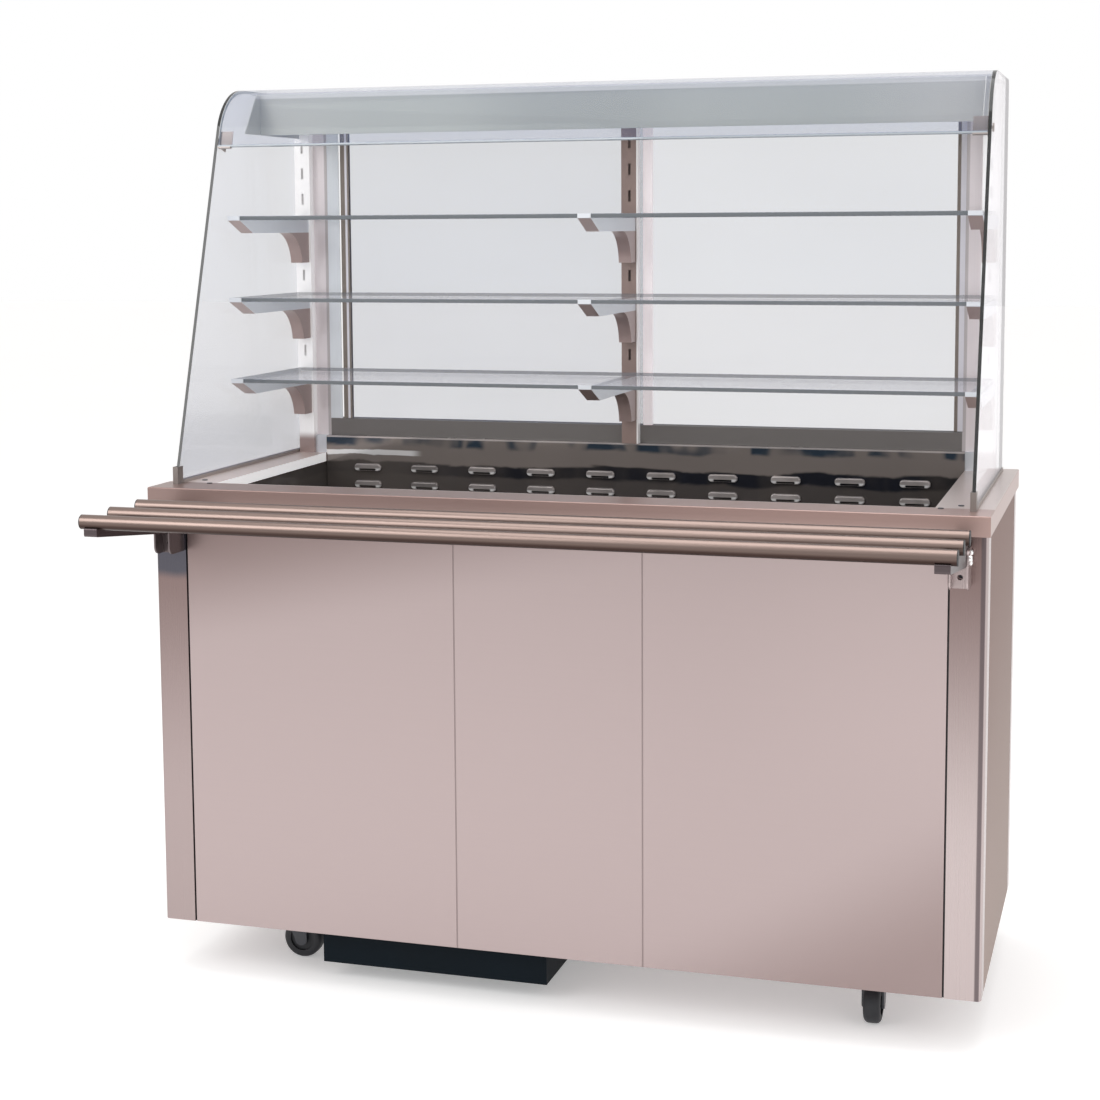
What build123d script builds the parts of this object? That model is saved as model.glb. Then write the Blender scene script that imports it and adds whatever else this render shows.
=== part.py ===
"""Chilled display case: a wheeled stainless servery counter with a blown-air well,
three glass shelves, curved glass, sliding rear doors and a fold-down tray slide.

The frame: +Z up from the floor, the customer side faces -Y, and the origin lies on
the floor under the middle of the whole object, tray slide included."""
import os
from math import cos, radians, sin, tan

from build123d import *

os.makedirs("parts", exist_ok=True)

# Counter and cabinet
counter_width = 1505.0
counter_depth = 650.0
counter_height = 915.0
fascia_height = 34.0
sheet = 1.5
bend = 2.0
side_inset = 4.0
front_setback = 18.0
rear_setback = 4.0
skin = 12.0
post_width = 61.0
post_depth = 45.0
post_round = 8.0
post_gap = 3.0
panel_gap = 1.5
middle_panel_width = 340.0
base_flange = 35.0

# Castors
castor_height = 100.0
wheel_diameter = 75.0
wheel_width = 30.0
wheel_bore = 10.0
castor_trail = 26.0
castor_side_inset = 196.5
castor_end_inset = 160.0
castor_plate_x = 92.0
castor_plate_y = 72.0
castor_plate_thickness = 3.0
castor_bolt_x = 70.0
castor_bolt_y = 50.0
castor_bolt = 8.0
swivel_boss = 40.0
kingpin = 12.0
crown_thickness = 6.0
crown_gap = 5.0
fork_plate = 4.0
fork_root = 44.0
fork_tip = 24.0
tread_round = 9.0
hub_recess = 4.0
hub_diameter = 46.0
front_left_swivel = 0.0
front_right_swivel = -90.0
rear_left_swivel = 155.0
rear_right_swivel = 60.0

# Running clearances
running_gap = 0.05
side_gap = 0.5
seat_gap = 0.3
hole_gap = 0.25

# Condensing unit slung under the cabinet floor
pan_width = 431.0
pan_castor_gap = 108.0
pan_length = 520.0
pan_setback = 42.0
pan_depth = 68.0
pan_flange = 14.0
compressor_diameter = 160.0
compressor_height = 205.0
compressor_round = 34.0
compressor_setback = 150.0
compressor_side = 100.0
compressor_base = 6.0
compressor_foot = 216.0
relay_box = 28.0
relay_height = 56.0
suction_rise = 143.5
liquid_rise = 212.5
condenser_width = 360.0
condenser_height = 250.0
condenser_depth = 60.0
condenser_end_gap = 20.0
condenser_fins = 30
fin_slot = 6.0
condenser_rim = 12.0
shroud_depth = 45.0
fan_diameter = 204.0
fan_tip_gap = 6.0
fan_hub = 50.0
fan_depth = 22.0
fan_blades = 5
blade_pitch = 28.0
blade_width = 40.0
motor_diameter = 78.0
motor_length = 58.0
motor_shaft = 8.0
strut_width = 12.0

# Chilled well
rim_front = 85.0
rim_side = 97.5
rim_back = 52.0
rim_lip = 18.0
well_depth = 160.0
cold_chamber = 112.0
plenum = 16.5
liner_flange = 12.0
foam = 30.0
louvre_end_gap = 22.5
louvre_rows = 2
louvre_pitch = 125.0
louvre_row_pitch = 35.0
louvre_width = 61.0
louvre_height = 17.0
louvre_stand = 6.0
louvre_drop = 46.0
louvre_mouth = 4.0
deck_gap = 1.0
return_slots = 12
return_slot_length = 80.0
return_slot_width = 8.0
return_slot_inset = 22.0
coil_length = 900.0
coil_depth = 130.0
coil_height = 80.0
coil_lift = 14.0
coil_setback = 130.0
carrier_plate = 3.0
carrier_length = 300.0
blower_diameter = 66.0
blower_shaft = 8.0
blower_vanes = 14
vane_thickness = 2.0
vane_depth = 10.0
blower_discs = 4

# Pipes
suction_pipe = 16.0
liquid_pipe = 10.0
drain_pipe = 28.0
drain_wall = 1.5
pipe_bend = 40.0

# Display structure
display_height = 733.0
glass_inset = 29.5
glass = 6.0
glass_front = 50.0
glass_rear = 28.0
glass_slope = 17.6
glass_round = 115.0
glass_corner = 14.0
glass_nip = 3.5
rail_width = 10.0
rail_height = 6.0
rail_base = 2.0
shoe_height = 32.0
shoe_length = 18.0
shoe_wall = 3.0
sill_height = 36.0
upright_width = 33.0
upright_depth = 18.0
upright_setback = 40.0
upright_gap = 4.0
slot_width = 5.0
slot_height = 22.0
visor_drop = 112.0
visor_end_gap = 1.0
visor_overlap = 66.0
clip_width = 26.0
clip_height = 32.0
clip_depth = 26.0
clip_plate = 2.0
clip_bolt = 6.0
clip_knob = 15.0
canopy_front = 404.0
canopy_height = 79.0
canopy_nose = 70.0
canopy_nose_top = 15.0
canopy_end_gap = 15.5
canopy_lip = 10.0
lamp_diameter = 26.0
lamp_half = 560.0
lamp_setback = 66.0
lamp_drop = 36.0
lamp_holder = 18.0

# Shelves
shelf_tiers = 3
lowest_shelf = 178.0
slots_per_tier = 3
shelf_pitch = 156.0
shelf_glass = 8.0
shelf_arris = 1.5
shelf_end_gap = 11.0
shelf_rear_gap = 2.0
bracket_nose = 265.0
bracket_width = 25.0
bracket_sheet = 2.0
arm_depth = 25.0
nose_length = 60.0
gusset_drop = 87.0
gusset_root = 35.0
gusset_reach = 95.0
gusset_sweep = 0.35
hook_width = 3.0
hook_height = 16.0

# Rear doors
frame_depth = 35.0
stile_width = 31.0
bottom_track = 35.0
top_track = 40.0
track_pitch = 16.0
front_track = 9.0
track_groove = 8.0
bottom_groove = 10.0
top_groove = 22.0
door_lift = 9.0
door_overlap = 12.0
door_ajar = 28.0
edge_width = 18.0
edge_depth = 10.0
edge_wall = 1.5

# Tray slide
tube_diameter = 25.0
tube_wall = 1.5
tube_pitch = 97.0
rear_tube = 83.5
tube_end_inset = 24.5
tube_drop = 23.0
cap_length = 14.0
cap_rim = 1.5
arm_inset = 46.5
tray_arm_width = 24.0
saddle = 4.0
arm_tip = 12.0
arm_root_drop = 46.0
arm_root_length = 15.0
arm_front_depth = 11.0
pivot_ahead = 43.0
pivot_drop = 65.0
pivot_diameter = 8.0
pivot_end = 12.0
arm_wall = 3.0
ear = 3.0
ear_length = 57.0
ear_height = 66.0
ear_above = 14.0
bridge_setback = 25.0
bridge_drop = 16.0
bridge_hole = 9.0
nut_diameter = 11.0
nut_height = 5.0

# Rear controls
control_strip = 110.0
controller_width = 78.0
controller_height = 34.0
controller_depth = 50.0
controller_bezel = 4.0
bezel_rim = 5.0
controller_side = 130.0
rocker_width = 18.0
rocker_height = 24.0
rocker_tilt = 8.0
rocker_stand = 3.0
rocker_pin = 3.0
housing_wall = 3.0
housing_depth = 24.0
rocker_side = 240.0
rocker_pitch = 46.0
vent_columns = 4
vent_rows = 10
vent_length = 120.0
vent_width = 9.0
vent_pitch = 150.0
vent_row_pitch = 34.0
gland_diameter = 26.0
gland_bore = 10.0
gland_length = 30.0
gland_side = 90.0
gland_rise = 90.0
screw_head = 10.0
screw_head_height = 2.5
rim_screw_inset = 22.5
rim_screw_back = 65.0

# Shared planes and places
half_width = counter_width / 2
tray_reach = rear_tube + 2 * tube_pitch + tube_diameter / 2
y_front = (tray_reach - counter_depth) / 2
y_rear = y_front + counter_depth
cabinet_half = half_width - side_inset
y_cab_front = y_front + front_setback
y_cab_rear = y_rear - rear_setback
y_cab_middle = (y_cab_front + y_cab_rear) / 2
z_top_under = counter_height - sheet
well_half = half_width - rim_side
y_well_front = y_front + rim_front
y_back = y_rear - rim_back
y_liner_rear = y_back + sheet + plenum
z_deck = counter_height - well_depth
z_liner_floor = z_deck - cold_chamber
z_foam = z_liner_floor - sheet - foam
end_outer = half_width - glass_inset
end_inner = end_outer - glass
y_glass_front = y_front + glass_front
y_glass_rear = y_rear - glass_rear
z_glass_low = counter_height + rail_base
z_glass_top = counter_height + display_height
y_upright = y_rear - upright_setback - upright_depth
y_frame = y_upright + upright_depth
upright_outer = end_inner - upright_gap
upright_x = upright_outer - upright_width / 2
frame_half = upright_outer - upright_width
z_sill = counter_height + sill_height
z_canopy_top = z_glass_top - glass
z_roof = z_canopy_top - sheet
castor_x = half_width - castor_side_inset
pan_left = pan_castor_gap - castor_x
pan_right = pan_left + pan_width
pan_centre_x = (pan_left + pan_right) / 2
y_pan_front = y_cab_front + pan_setback
y_pan_rear = y_pan_front + pan_length
z_pan_floor = castor_height - pan_depth
y_castor_front = y_front + castor_end_inset
y_castor_rear = y_rear - castor_end_inset


def slab(x, y, z, mode=Mode.ADD):
    """A box between pairs of limits along X, Y and Z, in the piece being built."""
    centre = tuple((low + high) / 2 for low, high in (x, y, z))
    size = [high - low for low, high in (x, y, z)]
    with Locations(centre):
        Box(*size, mode=mode)


def folded_tray(x, y, z, open_axis, open_end):
    """A folded sheet box between limits, with one side left open."""
    inner = [[low + sheet, high - sheet] for low, high in (x, y, z)]
    inner[open_axis][open_end] = (x, y, z)[open_axis][open_end]
    slab(x, y, z)
    slab(*inner, mode=Mode.SUBTRACT)


def rod(start, radius, length, plane, mode=Mode.ADD):
    """A cylinder from a start point along a plane's normal, in the piece being built."""
    with Locations(Plane(origin=start, x_dir=plane.x_dir, z_dir=plane.z_dir)):
        Cylinder(radius, length, align=(Align.CENTER, Align.CENTER, Align.MIN), mode=mode)


def write(piece, name):
    """Label a finished piece and write its file."""
    piece.part.label = name
    export_step(piece.part, f"parts/{name}.step")


# Planes whose normals run to the right, to the rear and upwards
to_right = Plane.YZ
to_rear = Plane.XZ.rotated((180, 0, 0))
upwards = Plane.XY

# Corner posts: folded sheet with returns
with BuildPart() as corner_posts:
    with BuildSketch(Plane((-cabinet_half, y_cab_front, castor_height))):
        with BuildLine():
            FilletPolyline(
                (post_width, 0), (0, 0), (0, post_depth), radius=post_round
            )
            Polyline(
                (0, post_depth),
                (skin, post_depth),
                (skin, post_depth - sheet),
                (sheet, post_depth - sheet),
            )
            FilletPolyline(
                (sheet, post_depth - sheet),
                (sheet, sheet),
                (post_width - sheet, sheet),
                radius=post_round - sheet,
            )
            Polyline(
                (post_width - sheet, sheet),
                (post_width - sheet, skin),
                (post_width, skin),
                (post_width, 0),
            )
        make_face()
    extrude(amount=z_top_under - castor_height)
    mirror(about=Plane.YZ)
    mirror(about=Plane.XZ.offset(-y_cab_middle))
write(corner_posts, "corner_posts")

# Cabinet floor: a folded tray with the opening for the slung pan and castor bolt holes
pan_inside_x = (pan_left + sheet, pan_right - sheet)
pan_inside_y = (y_pan_front + sheet, y_pan_rear - sheet)
floor_x = (-cabinet_half + skin, cabinet_half - skin)
floor_y = (y_cab_front + skin, y_cab_rear - skin)
castor_places = [
    (-castor_x, y_castor_front, front_left_swivel, "front_left"),
    (castor_x, y_castor_front, front_right_swivel, "front_right"),
    (-castor_x, y_castor_rear, rear_left_swivel, "rear_left"),
    (castor_x, y_castor_rear, rear_right_swivel, "rear_right"),
]
castor_spots = [(x, y, castor_height) for x, y, swivel, corner in castor_places]
with BuildPart() as base_tray:
    folded_tray(floor_x, floor_y, (castor_height, castor_height + base_flange), 2, 1)
    slab(pan_inside_x, pan_inside_y, (castor_height, castor_height + sheet), mode=Mode.SUBTRACT)
    for spot in castor_spots:
        with Locations(spot):
            with GridLocations(castor_bolt_x, castor_bolt_y, 2, 2):
                Cylinder(castor_bolt / 2 + hole_gap, 3 * sheet, mode=Mode.SUBTRACT)
write(base_tray, "base_tray")

# Black pan slung under the floor, with a flange that bolts to the underside
with BuildPart() as drop_pan:
    folded_tray((pan_left, pan_right), (y_pan_front, y_pan_rear), (z_pan_floor, castor_height), 2, 1)
    slab(
        (pan_left - pan_flange, pan_right + pan_flange),
        (y_pan_front - pan_flange, y_pan_rear + pan_flange),
        (castor_height - sheet, castor_height),
    )
    slab(pan_inside_x, pan_inside_y, (z_pan_floor + sheet, castor_height), mode=Mode.SUBTRACT)
write(drop_pan, "drop_pan")

# Front panels: three folded sheets with narrow joints
panel_limit = cabinet_half - post_width - post_gap
middle_half = middle_panel_width / 2
front_panels = {
    "front_panel_left": (-panel_limit, -middle_half - panel_gap),
    "front_panel_middle": (-middle_half, middle_half),
    "front_panel_right": (middle_half + panel_gap, panel_limit),
}
for name, span in front_panels.items():
    with BuildPart() as front_panel:
        folded_tray(span, (y_cab_front, y_cab_front + skin), (castor_height, z_top_under), 1, 1)
        fillet(front_panel.faces().sort_by(Axis.Y)[0].edges(), radius=bend / 2)
    write(front_panel, name)

# Side panels between the posts
side_span = (y_cab_front + post_depth + post_gap, y_cab_rear - post_depth - post_gap)
with BuildPart() as side_panel_left:
    folded_tray((-cabinet_half, -cabinet_half + skin), side_span, (castor_height, z_top_under), 0, 1)
    fillet(side_panel_left.faces().sort_by(Axis.X)[0].edges(), radius=bend / 2)
write(side_panel_left, "side_panel_left")

with BuildPart() as side_panel_right:
    folded_tray((cabinet_half - skin, cabinet_half), side_span, (castor_height, z_top_under), 0, 0)
    fillet(side_panel_right.faces().sort_by(Axis.X)[-1].edges(), radius=bend / 2)
write(side_panel_right, "side_panel_right")

# Rear panels: a plain one, a vented one over the condensing unit, a control strip above it
rear_skin = (y_cab_rear - skin, y_cab_rear)
z_control = z_foam - control_strip
gland_x = panel_limit - gland_side
z_gland = castor_height + gland_rise
with BuildPart() as rear_panel:
    folded_tray((panel_gap, panel_limit), rear_skin, (castor_height, z_top_under), 1, 0)
    fillet(rear_panel.faces().sort_by(Axis.Y)[-1].edges(), radius=bend / 2)
    rod((gland_x, rear_skin[0], z_gland), gland_diameter / 2 - housing_wall, skin, to_rear, Mode.SUBTRACT)
write(rear_panel, "rear_panel")

service_middle = -(panel_limit + panel_gap) / 2
z_vents = (castor_height + z_control) / 2
with BuildPart() as service_panel:
    folded_tray(
        (-panel_limit, -panel_gap), rear_skin, (castor_height, z_control - panel_gap), 1, 0
    )
    fillet(service_panel.faces().sort_by(Axis.Y)[-1].edges(), radius=bend / 2)
    with BuildSketch(Plane((service_middle, y_cab_rear, z_vents), x_dir=(1, 0, 0), z_dir=(0, -1, 0))):
        with GridLocations(vent_pitch, vent_row_pitch, vent_columns, vent_rows):
            SlotOverall(vent_length, vent_width)
    extrude(amount=skin, mode=Mode.SUBTRACT)
write(service_panel, "service_panel")

# Control strip with cut-outs and rocker housings
z_controls = z_foam - control_strip / 2
controller_x = -panel_limit + controller_side
rocker_places = {
    "rocker_power": controller_x + rocker_side,
    "rocker_light": controller_x + rocker_side + rocker_pitch,
}
housing_x = rocker_width / 2 + side_gap + housing_wall
housing_z = rocker_height / 2 + side_gap + housing_wall
y_housing = y_cab_rear - sheet - housing_depth
y_rocker = y_cab_rear + rocker_stand - rocker_height / 2
with BuildPart() as control_panel:
    folded_tray((-panel_limit, -panel_gap), rear_skin, (z_control, z_top_under), 1, 0)
    fillet(control_panel.faces().sort_by(Axis.Y)[-1].edges(), radius=bend / 2)
    slab(
        (controller_x - controller_width / 2, controller_x + controller_width / 2),
        rear_skin,
        (z_controls - controller_height / 2, z_controls + controller_height / 2),
        mode=Mode.SUBTRACT,
    )
    for x in rocker_places.values():
        slab(
            (x - housing_x, x + housing_x),
            (y_housing, y_cab_rear),
            (z_controls - housing_z, z_controls + housing_z),
        )
        slab(
            (x - housing_x + housing_wall, x + housing_x - housing_wall),
            (y_housing + housing_wall, y_cab_rear),
            (z_controls - housing_z + housing_wall, z_controls + housing_z - housing_wall),
            mode=Mode.SUBTRACT,
        )
        rod(
            (x - housing_x, y_rocker, z_controls),
            rocker_pin / 2 + running_gap,
            2 * housing_x,
            to_right,
            Mode.SUBTRACT,
        )
write(control_panel, "control_panel")

# Rocker caps on their pins, at rest pressed in at the upper end
for name, x in rocker_places.items():
    rocker_side_face = (x - rocker_width / 2, y_rocker, z_controls)
    with BuildPart() as rocker:
        with BuildSketch(Plane(origin=rocker_side_face, x_dir=(0, 1, 0), z_dir=(1, 0, 0))):
            with BuildLine():
                Polyline(
                    (0, rocker_height / 2 - side_gap),
                    (-rocker_height / 4, rocker_height / 4),
                    (-rocker_height / 4, -rocker_height / 4),
                    (0, -rocker_height / 2 + side_gap),
                )
                ThreePointArc(
                    (0, -rocker_height / 2 + side_gap),
                    (rocker_height / 2 - side_gap, 0),
                    (0, rocker_height / 2 - side_gap),
                )
            make_face()
        extrude(amount=rocker_width)
        rod((x - housing_x, y_rocker, z_controls), rocker_pin / 2, 2 * housing_x, to_right)
    tilted = rocker.part.rotate(Axis((x, y_rocker, z_controls), (1, 0, 0)), rocker_tilt)
    with BuildPart() as tilted_rocker:
        add(tilted)
    write(tilted_rocker, name)

# Temperature controller with its bezel and display window
with BuildPart() as controller:
    slab(
        (controller_x - controller_width / 2, controller_x + controller_width / 2),
        (y_cab_rear - controller_depth, y_cab_rear),
        (z_controls - controller_height / 2, z_controls + controller_height / 2),
    )
    slab(
        (controller_x - controller_width / 2 - bezel_rim, controller_x + controller_width / 2 + bezel_rim),
        (y_cab_rear, y_cab_rear + controller_bezel - side_gap),
        (z_controls - controller_height / 2 - bezel_rim, z_controls + controller_height / 2 + bezel_rim),
    )
    slab(
        (controller_x - controller_width / 4, controller_x + controller_width / 2 - bezel_rim),
        (y_cab_rear + controller_bezel / 2, y_cab_rear + controller_bezel),
        (z_controls - controller_height / 4, z_controls + controller_height / 3),
        mode=Mode.SUBTRACT,
    )
write(controller, "controller")

# Mains inlet gland through the plain rear panel, with a nut on each side of the sheet
y_gland_end = y_cab_rear + rear_setback - side_gap
gland_start = (gland_x, y_gland_end - gland_length, z_gland)
with BuildPart() as mains_gland:
    rod(gland_start, gland_diameter / 2 - housing_wall, gland_length, to_rear)
    rod((gland_x, y_cab_rear, z_gland), gland_diameter / 2, y_gland_end - y_cab_rear, to_rear)
    rod((gland_x, y_cab_rear - sheet - housing_wall, z_gland), gland_diameter / 2, housing_wall, to_rear)
    rod(gland_start, gland_bore / 2, gland_length, to_rear, Mode.SUBTRACT)
write(mains_gland, "mains_gland")

# Counter top: folded fascia all round, well cut-out with a turned-down lip
with BuildPart() as counter_top:
    folded_tray(
        (-half_width, half_width),
        (y_front, y_rear),
        (counter_height - fascia_height, counter_height),
        2,
        0,
    )
    fillet(counter_top.faces().sort_by(Axis.Z)[-1].edges(), radius=bend)
    slab(
        (-well_half - sheet, well_half + sheet),
        (y_well_front - sheet, y_back),
        (counter_height - rim_lip, z_top_under),
    )
    slab(
        (-well_half, well_half),
        (y_well_front, y_back + sheet),
        (counter_height - rim_lip, counter_height),
        mode=Mode.SUBTRACT,
    )
write(counter_top, "counter_top")

# Mirror-polished well liner hung by its flange under the counter
liner_x = (-well_half - 2 * sheet, well_half + 2 * sheet)
liner_y = (y_well_front - 2 * sheet, y_liner_rear + sheet)
suction_x = pan_centre_x + compressor_side
liquid_x = suction_x + pipe_bend
y_pipes = y_well_front + coil_setback / 2
drain_x = pan_right - pipe_bend
pipe_holes = [
    (suction_x, y_pipes, suction_pipe),
    (liquid_x, y_pipes, liquid_pipe),
    (drain_x, y_pipes, drain_pipe),
]
with BuildPart() as well_liner:
    folded_tray(liner_x, liner_y, (z_liner_floor - sheet, z_top_under), 2, 1)
    slab(
        (liner_x[0] - liner_flange, liner_x[1] + liner_flange),
        (liner_y[0] - liner_flange, liner_y[1]),
        (z_top_under - sheet, z_top_under),
    )
    slab(
        (liner_x[0] + sheet, liner_x[1] - sheet),
        (liner_y[0] + sheet, liner_y[1] - sheet),
        (z_liner_floor, z_top_under),
        mode=Mode.SUBTRACT,
    )
    for x, y, diameter in pipe_holes:
        rod((x, y, z_liner_floor - sheet), diameter / 2 + hole_gap, sheet, upwards, Mode.SUBTRACT)
write(well_liner, "well_liner")

# Foam jacket round the liner
with BuildPart() as well_insulation:
    slab(
        (liner_x[0] - foam, liner_x[1] + foam),
        (liner_y[0] - foam, y_cab_rear - skin),
        (z_foam, z_top_under - sheet),
    )
    slab(liner_x, liner_y, (z_liner_floor - sheet, z_top_under - sheet), mode=Mode.SUBTRACT)
    for x, y, diameter in pipe_holes:
        rod((x, y, z_foam), diameter / 2 + hole_gap, foam, upwards, Mode.SUBTRACT)
write(well_insulation, "well_insulation")

# Rear wall of the well with two rows of pressed air louvres
z_louvres = counter_height - louvre_drop
louvre_columns = int(2 * (well_half - louvre_end_gap) / louvre_pitch)
louvre_plane = Plane(origin=(0, y_back, z_louvres), x_dir=(1, 0, 0), z_dir=(0, -1, 0))
with BuildPart() as well_back:
    slab((-well_half, well_half), (y_back, y_back + sheet), (z_deck, z_sill))
    with BuildSketch(louvre_plane):
        with GridLocations(louvre_pitch, louvre_row_pitch, louvre_columns, louvre_rows):
            SlotOverall(louvre_width, louvre_height)
    extrude(amount=louvre_stand, taper=20)
    hood_faces = well_back.faces().filter_by(Axis.Y).group_by(Axis.Y)[0]
    fillet(hood_faces.edges(), radius=louvre_stand / 4)
    with BuildSketch(louvre_plane.offset(-sheet)):
        with GridLocations(louvre_pitch, louvre_row_pitch, louvre_columns, louvre_rows):
            SlotOverall(louvre_width - 3 * louvre_stand, louvre_height - louvre_stand)
    extrude(amount=louvre_stand, mode=Mode.SUBTRACT)
    with BuildSketch(louvre_plane):
        with Locations((0, -louvre_height / 2 + louvre_mouth)):
            with GridLocations(louvre_pitch, louvre_row_pitch, louvre_columns, louvre_rows):
                SlotOverall(louvre_width - 4 * louvre_stand, louvre_mouth)
    extrude(amount=louvre_stand, mode=Mode.SUBTRACT)
write(well_back, "well_back")

# Lift-out deck over the cold chamber, open to the plenum behind, with return-air slots
coil_half = coil_length / 2
deck_half = well_half - deck_gap
deck_y = (y_well_front + deck_gap, y_back - deck_gap)
with BuildPart() as well_deck:
    folded_tray((-deck_half, deck_half), deck_y, (z_liner_floor, z_deck), 2, 0)
    slab(
        (-coil_half, coil_half),
        (deck_y[1] - sheet, deck_y[1]),
        (z_liner_floor, z_deck - sheet),
        mode=Mode.SUBTRACT,
    )
    with BuildSketch(Plane((0, deck_y[0] + return_slot_inset, z_deck))):
        with GridLocations(2 * deck_half / (return_slots + 1), 1, return_slots, 1):
            SlotOverall(return_slot_length, return_slot_width)
    extrude(amount=-sheet, mode=Mode.SUBTRACT)
write(well_deck, "well_deck")

# Evaporator: finned coil between two plates that also carry the blower
y_coil = y_well_front + coil_setback
y_blower = y_coil + coil_depth + blower_diameter
z_coil = z_liner_floor + coil_lift
z_blower = z_coil + coil_height / 2
carrier_y = (y_coil - coil_lift, y_coil - coil_lift + carrier_length)
with BuildPart() as evaporator:
    slab((-coil_half, coil_half), (y_coil, y_coil + coil_depth), (z_coil, z_coil + coil_height))
    with Locations((0, y_coil, z_coil + coil_height / 2)):
        with GridLocations(coil_length / (2 * condenser_fins), 1, 2 * condenser_fins - 1, 1):
            Box(fin_slot, coil_depth / 2, coil_height, mode=Mode.SUBTRACT)
    for side in (-coil_half - carrier_plate, coil_half):
        slab((side, side + carrier_plate), carrier_y, (z_liner_floor, z_coil + coil_height))
        bearing = blower_shaft / 2 + running_gap
        rod((side, y_blower, z_blower), bearing, carrier_plate, to_right, Mode.SUBTRACT)
write(evaporator, "evaporator")

# Cross-flow blower: vanes between discs on a shaft
blower_half = coil_half - side_gap
vane_orbit = blower_diameter / 2 - vane_depth / 2
blower_plane = Plane(origin=(0, y_blower, z_blower), x_dir=(0, 1, 0), z_dir=(1, 0, 0))
with BuildPart() as evaporator_fan:
    rod(
        (-coil_half - carrier_plate, y_blower, z_blower),
        blower_shaft / 2,
        2 * (coil_half + carrier_plate),
        to_right,
    )
    for disc in range(blower_discs):
        along = -blower_half + disc * (2 * blower_half - carrier_plate) / (blower_discs - 1)
        rod((along, y_blower, z_blower), blower_diameter / 2, carrier_plate, to_right)
    with Locations(blower_plane):
        with PolarLocations(vane_orbit, blower_vanes):
            Box(vane_depth, vane_thickness, 2 * blower_half)
write(evaporator_fan, "evaporator_fan")

# Compressor pot on its foot plate, standing in the pan
compressor_x = pan_centre_x - compressor_side
y_compressor = y_pan_front + compressor_setback
z_pan = z_pan_floor + sheet
with BuildPart() as compressor:
    with Locations((compressor_x, y_compressor, z_pan)):
        Box(
            compressor_foot,
            compressor_diameter,
            compressor_base,
            align=(Align.CENTER, Align.CENTER, Align.MIN),
        )
    with BuildPart(mode=Mode.PRIVATE) as pot:
        rod((compressor_x, y_compressor, z_pan), compressor_diameter / 2, compressor_height, upwards)
        fillet(pot.edges().filter_by(GeomType.CIRCLE), radius=compressor_round)
    add(pot.part)
    slab(
        (compressor_x - compressor_diameter / 2 - relay_box / 2, compressor_x),
        (y_compressor - relay_box / 2, y_compressor + relay_box / 2),
        (z_pan + compressor_height / 2, z_pan + compressor_height / 2 + relay_height),
    )
write(compressor, "compressor")

# Condenser: finned block at the vented panel's side of the pan
condenser_x = (pan_centre_x - condenser_width / 2, pan_centre_x + condenser_width / 2)
y_condenser = y_pan_rear - sheet - condenser_end_gap - condenser_depth
z_condenser_top = z_pan + condenser_height
with BuildPart() as condenser:
    slab(condenser_x, (y_condenser, y_condenser + condenser_depth), (z_pan, z_condenser_top))
    with Locations((pan_centre_x, y_condenser + condenser_depth, z_pan + condenser_height / 2)):
        with GridLocations(condenser_width / (condenser_fins + 1), 1, condenser_fins, 1):
            Box(fin_slot, condenser_depth, condenser_height - 2 * condenser_rim, mode=Mode.SUBTRACT)
write(condenser, "condenser")

# Fan shroud with its motor on three struts
y_shroud = y_condenser - shroud_depth
z_fan = z_pan + condenser_height / 2
fan_hole = fan_diameter / 2 + fan_tip_gap
y_motor = y_shroud - strut_width / 2 - motor_length
fan_plane = Plane(origin=(pan_centre_x, y_shroud, z_fan), x_dir=(1, 0, 0), z_dir=(0, -1, 0))
with BuildPart() as condenser_shroud:
    folded_tray(condenser_x, (y_shroud, y_condenser), (z_pan, z_condenser_top), 1, 1)
    rod((pan_centre_x, y_shroud, z_fan), fan_hole, sheet, to_rear, Mode.SUBTRACT)
    with Locations(fan_plane):
        with PolarLocations((motor_diameter / 2 + fan_hole) / 2, 3, start_angle=90):
            with Locations((0, 0, strut_width / 4)):
                Box(fan_hole - motor_diameter / 2 + strut_width, strut_width, strut_width / 2)
    rod((pan_centre_x, y_motor, z_fan), motor_diameter / 2, motor_length + strut_width / 2, to_rear)
    rod(
        (pan_centre_x, y_shroud - motor_length / 2, z_fan),
        motor_shaft / 2 + running_gap,
        motor_length / 2,
        to_rear,
        Mode.SUBTRACT,
    )
write(condenser_shroud, "condenser_shroud")

# Condenser fan: pitched blades on a hub, its shaft in the motor
y_fan = y_shroud + sheet + fan_tip_gap
y_shaft = y_shroud - motor_length / 2 + side_gap
blade_root = fan_hub / 2 - vane_thickness
blade_length = fan_diameter / 2 - blade_root
with BuildPart() as condenser_fan:
    rod((pan_centre_x, y_shaft, z_fan), motor_shaft / 2, y_fan + fan_depth - y_shaft, to_rear)
    rod((pan_centre_x, y_fan, z_fan), fan_hub / 2, fan_depth, to_rear)
    with Locations(Plane(origin=(pan_centre_x, y_fan + fan_depth / 2, z_fan), z_dir=(0, -1, 0))):
        with PolarLocations(blade_root + blade_length / 2, fan_blades):
            with Locations(Location((0, 0, 0), (blade_pitch, 0, 0))):
                Box(blade_length, blade_width, vane_thickness)
write(condenser_fan, "condenser_fan")

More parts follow.
